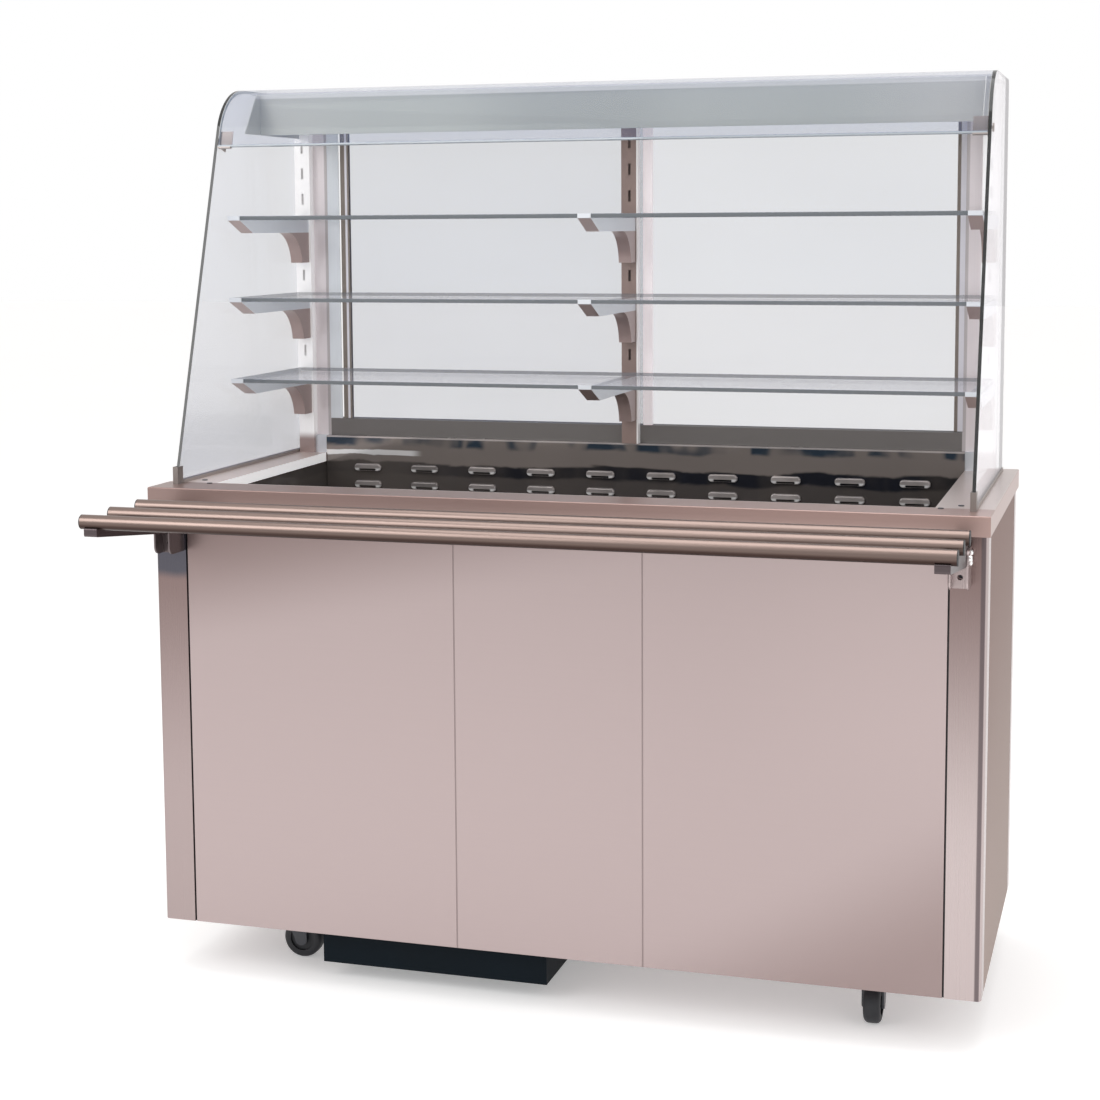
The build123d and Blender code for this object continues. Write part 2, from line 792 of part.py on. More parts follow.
# Pipes: suction and liquid lines up through the foam, and the well drain down to the pan
z_suction = z_pan + suction_rise
z_pipe_top = z_liner_floor + coil_lift / 2
suction_end = (compressor_x + compressor_diameter / 2, y_compressor, z_suction)
liquid_end = (liquid_x, y_shroud - hole_gap, z_pan + liquid_rise)
with BuildPart() as pipework:
    with BuildLine() as suction_route:
        FilletPolyline(
            suction_end,
            (suction_x, y_compressor, z_suction),
            (suction_x, y_compressor, (z_suction + z_foam) / 2),
            (suction_x, y_pipes, (z_suction + z_foam) / 2 + pipe_bend),
            (suction_x, y_pipes, z_pipe_top),
            radius=pipe_bend / 2,
        )
    with BuildSketch(Plane(origin=suction_end, z_dir=(1, 0, 0))):
        Circle(suction_pipe / 2)
    sweep(path=suction_route.line)
    with BuildLine() as liquid_route:
        FilletPolyline(
            liquid_end,
            (liquid_x, y_pipes, liquid_end[2]),
            (liquid_x, y_pipes, z_pipe_top),
            radius=pipe_bend,
        )
    with BuildSketch(Plane(origin=liquid_end, z_dir=(0, -1, 0))):
        Circle(liquid_pipe / 2)
    sweep(path=liquid_route.line)
    drain_foot = (drain_x, y_pipes, castor_height)
    drain_length = z_liner_floor - castor_height
    rod(drain_foot, drain_pipe / 2, drain_length, upwards)
    rod(drain_foot, drain_pipe / 2 - drain_wall, drain_length, upwards, Mode.SUBTRACT)
write(pipework, "pipework")

# Sill box behind the well, carrying the rear door frame
with BuildPart() as rear_sill:
    sill_y = (y_back + sheet, y_frame + frame_depth)
    folded_tray((-frame_half, frame_half), sill_y, (counter_height, z_sill), 2, 0)
write(rear_sill, "rear_sill")

# Slotted uprights: folded channels, the outer two on the counter and one on the sill
slot_pitch = shelf_pitch / slots_per_tier
z_shelf_under = counter_height + lowest_shelf - shelf_glass
z_hooks = z_shelf_under - gusset_drop + slot_pitch / 2
slot_count = int((z_canopy_top - canopy_height - z_hooks) / slot_pitch)
upright_feet = [(-upright_x, counter_height), (0, z_sill), (upright_x, counter_height)]
with BuildPart() as uprights:
    for x, foot in upright_feet:
        folded_tray(
            (x - upright_width / 2, x + upright_width / 2),
            (y_upright, y_frame),
            (foot, z_roof),
            1,
            1,
        )
        for slot in range(slot_count + 1):
            middle = z_hooks + slot * slot_pitch
            slab(
                (x - slot_width / 2, x + slot_width / 2),
                (y_upright, y_upright + sheet),
                (middle - slot_height / 2, middle + slot_height / 2),
                mode=Mode.SUBTRACT,
            )
write(uprights, "uprights")

# One shelf bracket: a folded arm with a lip at its nose, a gusset and two hooks
y_nose = y_front + bracket_nose
y_gusset = y_upright - gusset_root
corner_y = y_upright - gusset_reach
sweep_middle = (
    (corner_y + y_gusset) / 2 + gusset_sweep * (y_gusset - corner_y) / 2,
    -(arm_depth + gusset_drop) / 2 + gusset_sweep * (gusset_drop - arm_depth) / 2,
)
trough = bracket_width / 2 - bracket_sheet
with BuildPart() as bracket:
    with BuildSketch(Plane.YZ):
        with BuildLine():
            Polyline(
                (y_gusset, -gusset_drop),
                (y_upright, -gusset_drop),
                (y_upright, 0),
                (y_nose + bracket_sheet, 0),
                (y_nose + bracket_sheet, shelf_glass),
                (y_nose, shelf_glass),
                (y_nose, 0),
                (y_nose + nose_length, -arm_depth),
                (corner_y, -arm_depth),
            )
            ThreePointArc((corner_y, -arm_depth), sweep_middle, (y_gusset, -gusset_drop))
        make_face()
    extrude(amount=bracket_width / 2, both=True)
    slab(
        (-trough, trough),
        (y_nose + nose_length, y_upright - bracket_sheet),
        (-arm_depth + bracket_sheet, 0),
        mode=Mode.SUBTRACT,
    )
    slab(
        (-trough, trough),
        (y_gusset + bracket_sheet, y_upright - bracket_sheet),
        (-gusset_drop + bracket_sheet, 0),
        mode=Mode.SUBTRACT,
    )
    for hook in range(2):
        middle = -gusset_drop + slot_pitch * (hook + 0.5)
        slab(
            (-hook_width / 2, hook_width / 2),
            (y_upright, y_upright + 2 * sheet),
            (middle - hook_height / 2, middle + hook_height / 2),
        )

shelf_levels = [z_shelf_under + tier * shelf_pitch for tier in range(shelf_tiers)]
with BuildPart() as shelf_brackets:
    with Locations([(x, 0, z) for z in shelf_levels for x, foot in upright_feet]):
        add(bracket.part)
write(shelf_brackets, "shelf_brackets")

# Glass shelves behind the bracket lips
shelf_half = end_inner - shelf_end_gap
for name, level in zip(("shelf_glass_bottom", "shelf_glass_middle", "shelf_glass_top"), shelf_levels):
    with BuildPart() as shelf:
        slab(
            (-shelf_half, shelf_half),
            (y_nose + bracket_sheet, y_upright - shelf_rear_gap),
            (level, level + shelf_glass),
        )
        fillet(shelf.edges().filter_by(Axis.X), radius=shelf_arris)
    write(shelf, name)

# Clip and knob place on the sloping front edge of the end glass
slope = radians(glass_slope)
y_visor = y_glass_front + (z_glass_top - visor_drop - z_glass_low) * tan(slope)
visor_foot = (0, y_visor, z_glass_top - visor_drop)
visor_plane = Plane(origin=visor_foot, x_dir=(1, 0, 0), z_dir=(0, -cos(slope), sin(slope)))
knob_spot = visor_plane.from_local_coords((0, clip_height / 2, -glass - clip_depth / 2))
knob_centre = (knob_spot.Y, knob_spot.Z)

# End glass: sloping front edge, large bend into the level top
y_slope_top = y_glass_front + (z_glass_top - z_glass_low) * tan(slope)
for name, x in (("end_glass_left", -end_outer), ("end_glass_right", end_inner)):
    with BuildPart() as end_glass:
        with BuildSketch(Plane.YZ.offset(x)):
            with BuildLine():
                FilletPolyline(
                    (y_glass_rear, z_glass_low),
                    (y_glass_front, z_glass_low),
                    (y_slope_top, z_glass_top),
                    (y_glass_rear, z_glass_top),
                    radius=(glass_nip, glass_nip, glass_round, glass_corner),
                    close=True,
                )
            make_face()
            with Locations(knob_centre):
                Circle(clip_bolt / 2, mode=Mode.SUBTRACT)
        extrude(amount=glass)
    write(end_glass, name)

# Rails under the end glass with a shoe at the front corner
rail_middle = end_outer - glass / 2
groove = glass / 2 + seat_gap
with BuildPart() as glass_rails:
    slab(
        (rail_middle - rail_width / 2, rail_middle + rail_width / 2),
        (y_glass_front - shoe_wall, y_glass_rear),
        (counter_height, counter_height + rail_height),
    )
    slab(
        (rail_middle - rail_width / 2, rail_middle + rail_width / 2),
        (y_glass_front - shoe_wall, y_glass_front + shoe_length),
        (counter_height, counter_height + shoe_height),
    )
    slab(
        (rail_middle - groove, rail_middle + groove),
        (y_glass_front - seat_gap, y_glass_rear),
        (z_glass_low, counter_height + shoe_height),
        mode=Mode.SUBTRACT,
    )
    mirror(about=Plane.YZ)
write(glass_rails, "glass_rails")

# Curved visor glass between the end glasses, resting on the canopy
visor_half = end_inner - visor_end_gap
y_canopy = y_front + canopy_front
with BuildPart() as visor_glass:
    with BuildSketch(Plane.YZ.offset(-visor_half)):
        inner_shift = glass * (1 - sin(slope)) / cos(slope)
        y_visor_low = y_visor + glass * cos(slope)
        z_visor_low = z_glass_top - visor_drop - glass * sin(slope)
        with BuildLine():
            FilletPolyline(
                (y_visor, z_glass_top - visor_drop),
                (y_slope_top, z_glass_top),
                (y_canopy + visor_overlap, z_glass_top),
                radius=glass_round,
            )
            Line((y_canopy + visor_overlap, z_glass_top), (y_canopy + visor_overlap, z_canopy_top))
            FilletPolyline(
                (y_canopy + visor_overlap, z_canopy_top),
                (y_slope_top + inner_shift, z_canopy_top),
                (y_visor_low, z_visor_low),
                radius=glass_round - glass,
            )
            Line((y_visor_low, z_visor_low), (y_visor, z_glass_top - visor_drop))
        make_face()
    extrude(amount=2 * visor_half)
write(visor_glass, "visor_glass")

# Corner clips: a plate behind the visor, a plate on the end glass, a foot and a knob
with BuildPart() as visor_clips:
    with BuildSketch(visor_plane.offset(-glass)):
        with Locations((end_inner - clip_width / 2, clip_height / 2)):
            Rectangle(clip_width, clip_height)
    extrude(amount=-clip_plate)
    with BuildSketch(visor_plane.offset(-glass)):
        with Locations((end_inner - clip_plate / 2, clip_height / 2)):
            Rectangle(clip_plate, clip_height)
    extrude(amount=-clip_depth)
    with BuildSketch(visor_plane.offset(-glass - clip_plate)):
        with Locations((end_inner - clip_width / 2, -clip_plate / 2)):
            Rectangle(clip_width, clip_plate)
    extrude(amount=glass + clip_plate)
    rod((end_inner, *knob_centre), clip_bolt / 2, glass, to_right)
    rod((end_outer, *knob_centre), clip_knob / 2, screw_head_height, to_right)
    mirror(about=Plane.YZ)
write(visor_clips, "visor_clips")

# Light canopy: roof, front face with a turned lip, and end plates that reach forward
canopy_half = end_inner - canopy_end_gap
z_canopy_low = z_canopy_top - canopy_height
y_roof_rear = y_frame + frame_depth
with BuildPart() as light_canopy:
    slab((-visor_half, visor_half), (y_canopy, y_roof_rear), (z_roof, z_canopy_top))
    slab((-canopy_half, canopy_half), (y_canopy, y_canopy + sheet), (z_canopy_low, z_roof))
    slab(
        (-canopy_half, canopy_half),
        (y_canopy, y_canopy + canopy_lip),
        (z_canopy_low, z_canopy_low + sheet),
    )
    for x in (-canopy_half, canopy_half - sheet):
        with BuildSketch(Plane.YZ.offset(x)):
            Polygon(
                (y_canopy - canopy_nose, z_canopy_low),
                (y_upright - shelf_rear_gap, z_canopy_low),
                (y_upright - shelf_rear_gap, z_roof),
                (y_canopy - canopy_nose_top, z_roof),
                align=None,
            )
        extrude(amount=sheet)
write(light_canopy, "light_canopy")

# Lamp tube between two holders under the roof
y_lamp = y_canopy + lamp_setback
z_lamp = z_roof - lamp_drop
with BuildPart() as lamp_tube:
    rod((-lamp_half, y_lamp, z_lamp), lamp_diameter / 2, 2 * lamp_half, to_right)
    for x in (-lamp_half - lamp_holder, lamp_half):
        slab(
            (x, x + lamp_holder),
            (y_lamp - lamp_diameter / 2, y_lamp + lamp_diameter / 2),
            (z_lamp - lamp_diameter / 2, z_roof),
        )
write(lamp_tube, "lamp_tube")

# Rear door frame: grooved tracks between two full-height stiles
z_door_low = z_sill + bottom_track
z_door_top = z_roof - top_track
opening_half = frame_half - stile_width
frame_y = (y_frame, y_frame + frame_depth)
y_tracks = (y_frame + front_track, y_frame + front_track + track_pitch)
with BuildPart() as door_frame:
    slab((-opening_half, opening_half), frame_y, (z_sill, z_door_low))
    slab((-opening_half, opening_half), frame_y, (z_door_top, z_roof))
    for y in y_tracks:
        groove_y = (y - track_groove / 2, y + track_groove / 2)
        for groove_z in ((z_door_low - bottom_groove, z_door_low), (z_door_top, z_door_top + top_groove)):
            slab((-opening_half, opening_half), groove_y, groove_z, mode=Mode.SUBTRACT)
    for x in (-frame_half, opening_half):
        slab((x, x + stile_width), frame_y, (z_sill, z_roof))
write(door_frame, "door_frame")

# Rear sliding doors: glass panes with full-height edge profiles, the left one a little open
door_width = opening_half + door_overlap
door_places = {
    "door_left": (-opening_half + door_ajar, y_tracks[0]),
    "door_right": (opening_half - seat_gap - door_width, y_tracks[1]),
}
pane_z = (z_door_low - bottom_groove + running_gap, z_door_top + top_groove - door_lift)
edge_z = (z_door_low + side_gap, z_door_top - side_gap)
for name, (x, y) in door_places.items():
    pane_x = (x + edge_wall, x + door_width - edge_wall)
    pane_y = (y - glass / 2, y + glass / 2)
    with BuildPart() as pane:
        slab(pane_x, pane_y, pane_z)
    write(pane, name + "_pane")
    with BuildPart() as edges:
        for start in (x, x + door_width - edge_width):
            slab((start, start + edge_width), (y - edge_depth / 2, y + edge_depth / 2), edge_z)
        slab(pane_x, pane_y, edge_z, mode=Mode.SUBTRACT)
    write(edges, name + "_edges")

# Tray slide: three tubes with end caps
tube_half = half_width - tube_end_inset
z_tube = counter_height - tube_drop
tube_rows = [y_front - rear_tube - row * tube_pitch for row in range(3)]
with BuildPart() as tray_tubes:
    for y in tube_rows:
        start = (-tube_half + cap_rim, y, z_tube)
        rod(start, tube_diameter / 2, 2 * (tube_half - cap_rim), to_right)
        rod(start, tube_diameter / 2 - tube_wall, 2 * (tube_half - cap_rim), to_right, Mode.SUBTRACT)
write(tray_tubes, "tray_tubes")

plug = tube_diameter / 2 - tube_wall - running_gap
with BuildPart() as tray_caps:
    for y in tube_rows:
        rod((-tube_half, y, z_tube), tube_diameter / 2, cap_rim, to_right)
        rod((-tube_half + cap_rim, y, z_tube), plug, cap_length, to_right)
    mirror(about=Plane.YZ)
write(tray_caps, "tray_caps")

# Tray arms: tapered channels with saddles for the tubes and a pivot at the root
arm_x = half_width - arm_inset
y_pivot = y_cab_front - pivot_ahead
z_pivot = counter_height - pivot_drop
z_arm_top = z_tube - tube_diameter / 2 + saddle
z_arm_front = z_tube - tube_diameter / 2 - arm_front_depth
z_arm_root = z_arm_top - arm_root_drop
y_arm_tip = tube_rows[-1] - arm_tip
y_arm_end = y_pivot + pivot_end
arm_side = arm_x - tray_arm_width / 2
with BuildPart() as tray_arms:
    with BuildSketch(Plane.YZ.offset(arm_side)):
        with BuildLine():
            FilletPolyline(
                (y_arm_end, z_arm_top),
                (y_arm_tip, z_arm_top),
                (y_arm_tip, z_arm_front),
                (y_pivot - arm_root_length, z_arm_root),
                (y_arm_end, z_arm_root),
                radius=saddle,
            )
            Line((y_arm_end, z_arm_root), (y_arm_end, z_arm_top))
        make_face()
    extrude(amount=tray_arm_width)
    slab(
        (arm_side + arm_wall, arm_side + tray_arm_width - arm_wall),
        (y_arm_tip + 2 * arm_tip, y_arm_end - arm_wall),
        (z_arm_root, z_arm_top - saddle - arm_wall),
        mode=Mode.SUBTRACT,
    )
    for y in tube_rows:
        rod((arm_side, y, z_tube), tube_diameter / 2, tray_arm_width, to_right, Mode.SUBTRACT)
    rod(
        (arm_side, y_pivot, z_pivot),
        pivot_diameter / 2 + running_gap,
        tray_arm_width,
        to_right,
        Mode.SUBTRACT,
    )
    mirror(about=Plane.YZ)
write(tray_arms, "tray_arms")

# Tray brackets on the front posts: ears, back plate, bridge and pivot pin with dome nuts
ear_inner = arm_side - side_gap
ear_outer = arm_side + tray_arm_width + side_gap
z_ear_top = z_pivot + ear_above
ear_z = (z_ear_top - ear_height, z_ear_top)
bracket_x = (ear_inner - ear, ear_outer + ear)
z_bridge = z_pivot - bridge_drop
bridge_y = (y_cab_front - bridge_setback - ear, y_cab_front - bridge_setback)
z_bolt_hole = (ear_z[0] + z_bridge) / 2
with BuildPart() as tray_brackets:
    slab(bracket_x, (y_cab_front - ear, y_cab_front), ear_z)
    for x in (bracket_x[0], ear_outer):
        slab((x, x + ear), (y_cab_front - ear_length, y_cab_front), ear_z)
    fillet(tray_brackets.edges().filter_by(Axis.X).group_by(Axis.Y)[0], radius=ear_above)
    slab(bracket_x, bridge_y, (ear_z[0], z_bridge))
    rod((arm_x, bridge_y[0], z_bolt_hole), bridge_hole / 2, ear, to_rear, Mode.SUBTRACT)
    rod((bracket_x[0], y_pivot, z_pivot), pivot_diameter / 2, bracket_x[1] - bracket_x[0], to_right)
    for x in (bracket_x[0] - nut_height, bracket_x[1]):
        rod((x, y_pivot, z_pivot), nut_diameter / 2, nut_height, to_right)
    outer_nuts = tray_brackets.faces().filter_by(Axis.X).sort_by(Axis.X)
    fillet(outer_nuts[0].edges() + outer_nuts[-1].edges(), radius=nut_height / 2)
    mirror(about=Plane.YZ)
write(tray_brackets, "tray_brackets")

# Castor top plates with the swivel boss
axle_height = wheel_diameter / 2
z_crown = wheel_diameter + crown_gap
z_boss = z_crown + crown_thickness + seat_gap
z_plate = castor_height - castor_plate_thickness
with BuildPart() as castor_plates:
    for x, y, swivel, corner in castor_places:
        slab(
            (x - castor_plate_x / 2, x + castor_plate_x / 2),
            (y - castor_plate_y / 2, y + castor_plate_y / 2),
            (z_plate, castor_height),
        )
        rod((x, y, z_boss), swivel_boss / 2, z_plate - z_boss, upwards)
        rod((x, y, z_boss), kingpin / 2 + running_gap, castor_height - z_boss, upwards, Mode.SUBTRACT)
        with Locations((x, y, castor_height)):
            with GridLocations(castor_bolt_x, castor_bolt_y, 2, 2):
                Cylinder(castor_bolt / 2 + hole_gap, 3 * castor_plate_thickness, mode=Mode.SUBTRACT)
write(castor_plates, "castor_plates")

# One castor fork and wheel, trailing along +X from the kingpin axis
leg_inner = wheel_width / 2 + side_gap
leg_outer = leg_inner + fork_plate
with BuildPart() as fork:
    rod((0, 0, z_crown), kingpin / 2, castor_height - side_gap - z_crown, upwards)
    with BuildSketch(Plane((0, 0, z_crown))):
        Circle(swivel_boss / 2)
        with Locations((castor_trail / 2, 0)):
            Rectangle(castor_trail + fork_tip, 2 * leg_outer)
    extrude(amount=crown_thickness)
    for y in (-leg_outer, leg_inner):
        with BuildSketch(Plane(origin=(0, y, 0), x_dir=(1, 0, 0), z_dir=(0, -1, 0))):
            Polygon(
                (castor_trail - fork_tip / 2, axle_height),
                (castor_trail + fork_tip / 2, axle_height),
                ((castor_trail + fork_root) / 2, z_crown + crown_thickness),
                ((castor_trail - fork_root) / 2, z_crown + crown_thickness),
                align=None,
            )
            with Locations((castor_trail, axle_height)):
                Circle(fork_tip / 2)
        extrude(amount=-fork_plate)
    rod((castor_trail, -leg_outer, axle_height), wheel_bore / 2, 2 * leg_outer, to_rear)

with BuildPart() as wheel:
    with Locations(Plane(origin=(castor_trail, 0, axle_height), x_dir=(1, 0, 0), z_dir=(0, 1, 0))):
        Cylinder(wheel_diameter / 2, wheel_width)
        fillet(wheel.edges().filter_by(GeomType.CIRCLE), radius=tread_round)
        for end in (-1, 1):
            with Locations((0, 0, end * wheel_width / 2)):
                Cylinder(hub_diameter / 2, 2 * hub_recess, mode=Mode.SUBTRACT)
        Cylinder(wheel_bore, wheel_width)
        Cylinder(wheel_bore / 2 + running_gap, wheel_width, mode=Mode.SUBTRACT)

for x, y, swivel, corner in castor_places:
    with BuildPart() as castor_fork:
        with Locations(Location((x, y, 0), (0, 0, swivel))):
            add(fork.part)
    write(castor_fork, f"castor_fork_{corner}")
    with BuildPart() as castor_wheel:
        with Locations(Location((x, y, 0), (0, 0, swivel))):
            add(wheel.part)
    write(castor_wheel, f"castor_wheel_{corner}")

# Fixings: castor bolts, tray bracket bolts, counter screws and rear panel screws
rim_screw_places = [
    (end_inner - rim_screw_inset, y_glass_front + rim_screw_back),
    (well_half + screw_head, y_well_front - screw_head),
]
with BuildPart() as fixings:
    for x, y, swivel, corner in castor_places:
        with Locations((x, y, 0)):
            with GridLocations(castor_bolt_x, castor_bolt_y, 2, 2):
                with Locations((0, 0, z_plate - screw_head_height)):
                    Cylinder(castor_bolt, screw_head_height, align=(Align.CENTER, Align.CENTER, Align.MIN))
                    Cylinder(
                        castor_bolt / 2,
                        2 * screw_head_height + castor_plate_thickness + sheet,
                        align=(Align.CENTER, Align.CENTER, Align.MIN),
                    )
                with Locations((0, 0, castor_height + sheet)):
                    Cylinder(castor_bolt, screw_head_height, align=(Align.CENTER, Align.CENTER, Align.MIN))
    for side in (-1, 1):
        for z in (z_bolt_hole, z_pivot):
            rod(
                (side * arm_x, y_cab_front - ear - screw_head_height, z),
                screw_head / 2,
                screw_head_height,
                to_rear,
            )
        for x, y in rim_screw_places:
            rod((side * x, y, counter_height), screw_head / 2, screw_head_height / 2, upwards)
        for z in (castor_height + screw_head, z_control - screw_head):
            for x in (panel_gap + screw_head, panel_limit - screw_head):
                rod((side * x, y_cab_rear, z), screw_head / 2, screw_head_height, to_rear)
write(fixings, "fixings")
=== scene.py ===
"""Finishes, small trim and studio for a chilled display case, in metres, in the part's own frame."""
import math

import bmesh
import bpy
from bpy.props import FloatProperty, FloatVectorProperty, PointerProperty
from bpy.types import Operator, Panel, PropertyGroup
from mathutils import Matrix, Vector


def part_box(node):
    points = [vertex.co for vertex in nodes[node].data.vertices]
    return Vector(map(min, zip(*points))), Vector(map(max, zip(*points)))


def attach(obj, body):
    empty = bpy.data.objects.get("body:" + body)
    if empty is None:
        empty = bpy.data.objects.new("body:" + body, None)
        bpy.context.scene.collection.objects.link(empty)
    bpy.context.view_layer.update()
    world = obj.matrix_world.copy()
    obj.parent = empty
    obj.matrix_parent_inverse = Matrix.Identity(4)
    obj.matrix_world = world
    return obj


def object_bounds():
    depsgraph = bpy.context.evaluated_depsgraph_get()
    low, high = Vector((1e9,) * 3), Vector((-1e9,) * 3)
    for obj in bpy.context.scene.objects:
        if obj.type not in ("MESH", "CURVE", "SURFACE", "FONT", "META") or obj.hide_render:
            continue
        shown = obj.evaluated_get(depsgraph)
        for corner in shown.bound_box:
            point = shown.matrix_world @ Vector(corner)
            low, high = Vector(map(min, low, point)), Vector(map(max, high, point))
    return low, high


bl_info = {
    "name": "Chilled Display Case",
    "version": (1, 0, 0),
    "blender": (4, 5, 0),
    "location": "View3D > Sidebar > Display Case",
    "description": "Dresses a packed chilled display case and lights it in a pale studio",
    "category": "Object",
}

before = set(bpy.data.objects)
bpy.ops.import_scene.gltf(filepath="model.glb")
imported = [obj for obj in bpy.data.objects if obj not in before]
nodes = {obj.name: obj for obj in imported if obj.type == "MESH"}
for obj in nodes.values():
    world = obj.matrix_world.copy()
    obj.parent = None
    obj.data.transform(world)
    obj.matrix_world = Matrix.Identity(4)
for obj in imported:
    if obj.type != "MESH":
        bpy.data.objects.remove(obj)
cad_low, cad_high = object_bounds()
counter_low, counter_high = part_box("counter_top")
panel_low, panel_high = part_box("front_panel_middle")

GRAIN_CELLS = {"x": (3.0, 640.0, 640.0), "y": (640.0, 3.0, 640.0), "z": (640.0, 640.0, 3.0)}
CLOUD_CELLS = (1.6, 1.6, 1.6)
GRAIN_ROUGH = 0.06
CLOUD_ROUGH = 0.08
GRAIN_DEPTH = 0.00005
FACE_SPAN = (0.4, 0.7)
WAVE_HEIGHT = 0.03
BLACK = (0.0, 0.0, 0.0)
EDGE_EASE = 0.0002
PANEL_GAP = 0.0015
POST_GAP = 0.003
TIER_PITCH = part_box("shelf_glass_middle")[0].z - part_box("shelf_glass_bottom")[0].z
FLOOR_REACH = 30.0
SENSOR_WIDTH = 36.0
SKY_COLOUR = (1.0, 0.985, 0.975, 1.0)
BACKDROP_COLOUR = (1.0, 1.0, 1.0, 1.0)
GLASS_LAYERS = 32


def tone(red, green, blue):
    """A display colour out of 255 as the linear colour that Blender works in."""
    shares = (red / 255, green / 255, blue / 255)
    return tuple(s / 12.92 if s <= 0.04045 else ((s + 0.055) / 1.055) ** 2.4 for s in shares)


def dim(colour, share):
    """A colour made darker or lighter by one share."""
    return tuple(min(1.0, part * share) for part in colour)


def paint_property(name, description, default):
    """A colour that the panel offers."""
    return FloatVectorProperty(
        name=name, description=description, default=default, subtype="COLOR", size=3, min=0.0, max=1.0
    )


def share_property(name, description, default):
    """A share from 0 to 1 that the panel offers."""
    return FloatProperty(
        name=name, description=description, default=default, subtype="FACTOR", min=0.0, max=1.0
    )


class CaseSteel(PropertyGroup):
    """Colours of the stainless sheet."""

    panel: paint_property("Panels", "Satin front panels", tone(174, 159, 158))
    panel_shade: paint_property("Panel shade", "Panels under the counter", tone(132, 114, 111))
    # Painted shade: this tone darkens the posts under the counter and the left post all over.
    post_top_shade: paint_property("Post top", "Corner posts under the counter", tone(124, 104, 101))
    post_low: paint_property("Post foot", "Corner posts near the floor", tone(182, 169, 168))
    # Painted shade: the side panels darken towards the top, under the counter.
    side_top_shade: paint_property("Side top", "Side panels under the counter", tone(122, 94, 86))
    side_low: paint_property("Side foot", "Side panels near the floor", tone(150, 131, 123))
    rim: paint_property("Rim", "Counter top", tone(208, 196, 192))
    # Painted shade: the fascia tone darkens the counter's front edge and the front strip of its top.
    fascia: paint_property("Fascia", "Folded edge of the counter", tone(164, 139, 133))
    # Painted light and shade on the tray tubes, by which way each face turns.
    tube_light: paint_property("Tube top", "Tray tubes where they face up", tone(150, 132, 125))
    tube_shade: paint_property("Tube underside", "Tray tubes where they face down", tone(62, 48, 44))
    canopy: paint_property("Canopy", "Light canopy over the shelves", tone(174, 177, 169))
    # The bright tone is the outer uprights' pale and also the colour of painted highlights and glints on
    # the counter folds, the well wall, the louvres, the canopy fold and the tray bracket ears.
    bright: paint_property("Bright", "Outer uprights", tone(254, 253, 253))
    # Painted shade: the middle upright's brown stands darker than the pale outer ones.
    upright: paint_property("Upright", "Middle upright", tone(140, 121, 115))
    arm: paint_property("Shelf arm", "Sides of the shelf brackets", tone(216, 220, 226))
    # The gusset tone also paints shade on the brackets' front faces.
    gusset: paint_property("Gusset", "Feet of the shelf brackets", tone(166, 146, 142))
    # Painted shade: the tray arms and the left tray bracket, and a painted dark reflection line on the
    # right post.
    hinge: paint_property("Hinge", "Tray arms in the shade of the tubes", tone(98, 88, 90))
    clip: paint_property("Clips", "Visor clips and glass shoes", tone(158, 149, 145))
    sill: paint_property("Sill", "Box under the rear doors", tone(112, 108, 106))
    # The well tones are painted reflections; the blue one is also a painted reflection on the left post.
    well_dark: paint_property("Well dark", "Deep reflections in the polished well", tone(42, 44, 52))
    well_blue: paint_property("Well blue", "Blue patches in the polished well", tone(58, 72, 86))
    well_mid: paint_property("Well middle", "Plain stretches of the polished well", tone(148, 139, 134))
    # The louvre tone also paints highlights on the well wall's top edge and lightens the canopy's ends.
    louvre: paint_property("Louvres", "Pressed hoods in the well", tone(226, 217, 214))


class CaseGlass(PropertyGroup):
    """Colours and clearness of the glass."""

    tint: paint_property("Tint", "Colour of the glass faces", tone(80, 101, 142))
    glare: paint_property("Glare", "Colour of the glass seen at a low angle", tone(246, 242, 246))
    edge: paint_property("Edges", "Colour of the polished shelf and visor edges", tone(148, 155, 161))
    end_edge: paint_property("End edges", "Colour of the end glass edges", tone(26, 28, 28))
    pane: share_property("Pane", "Share of light that a door or end glass holds back", 0.15)
    shelf: share_property("Shelf", "Share of light that a shelf or the visor holds back", 0.05)


class CaseTrim(PropertyGroup):
    """Colours of paint, plastic and plated parts."""

    pan: paint_property("Pan", "Slung machine pan", tone(8, 18, 25))
    tread: paint_property("Wheels", "Castor wheels", tone(26, 28, 33))
    plated: paint_property("Plated", "Castor forks and plates", tone(58, 60, 66))
    plastic: paint_property("Plastic", "Caps, seals, controller and gland", tone(30, 30, 33))
    anodised: paint_property("Anodised", "Coil fins", tone(176, 175, 176))
    track: paint_property("Track", "Rails of the door frame", tone(122, 118, 116))
    jamb: paint_property("Jamb", "Stiles of the door frame", tone(240, 232, 234))
    # Painted highlight: the sideways faces of the door frame and a stripe on the outer door stiles.
    reveal: paint_property("Reveal", "Turned faces of the door frame and edges", tone(236, 234, 240))
    lip: paint_property("Lip", "Lip of the left jamb, in front of the left door", tone(236, 241, 246))
    bronze: paint_property("Bronze", "Outer edges of the doors", tone(136, 126, 118))


class CaseStage(PropertyGroup):
    """Camera and light."""

    place: FloatVectorProperty(
        name="Camera", description="Where the camera stands", default=(1.0071, -3.4501, 1.3885), size=3,
        subtype="TRANSLATION",
    )
    turn: FloatProperty(
        name="Turn", description="Camera turn from the straight front view", default=0.2949, subtype="ANGLE"
    )
    tilt: FloatProperty(name="Tilt", description="Camera tilt below level", default=0.1073, subtype="ANGLE")
    roll: FloatProperty(name="Roll", description="Camera roll", default=-0.0062, subtype="ANGLE")
    lens: FloatProperty(name="Lens", description="Focal length in millimetres", default=66.0, min=10.0)
    rise: FloatProperty(name="Rise", description="Vertical lens shift", default=-0.10)
    sky: FloatProperty(name="Sky", description="Strength of the studio's even light", default=0.8, min=0.0)
    floor: paint_property("Floor", "Pale studio floor", (0.86, 0.86, 0.86))


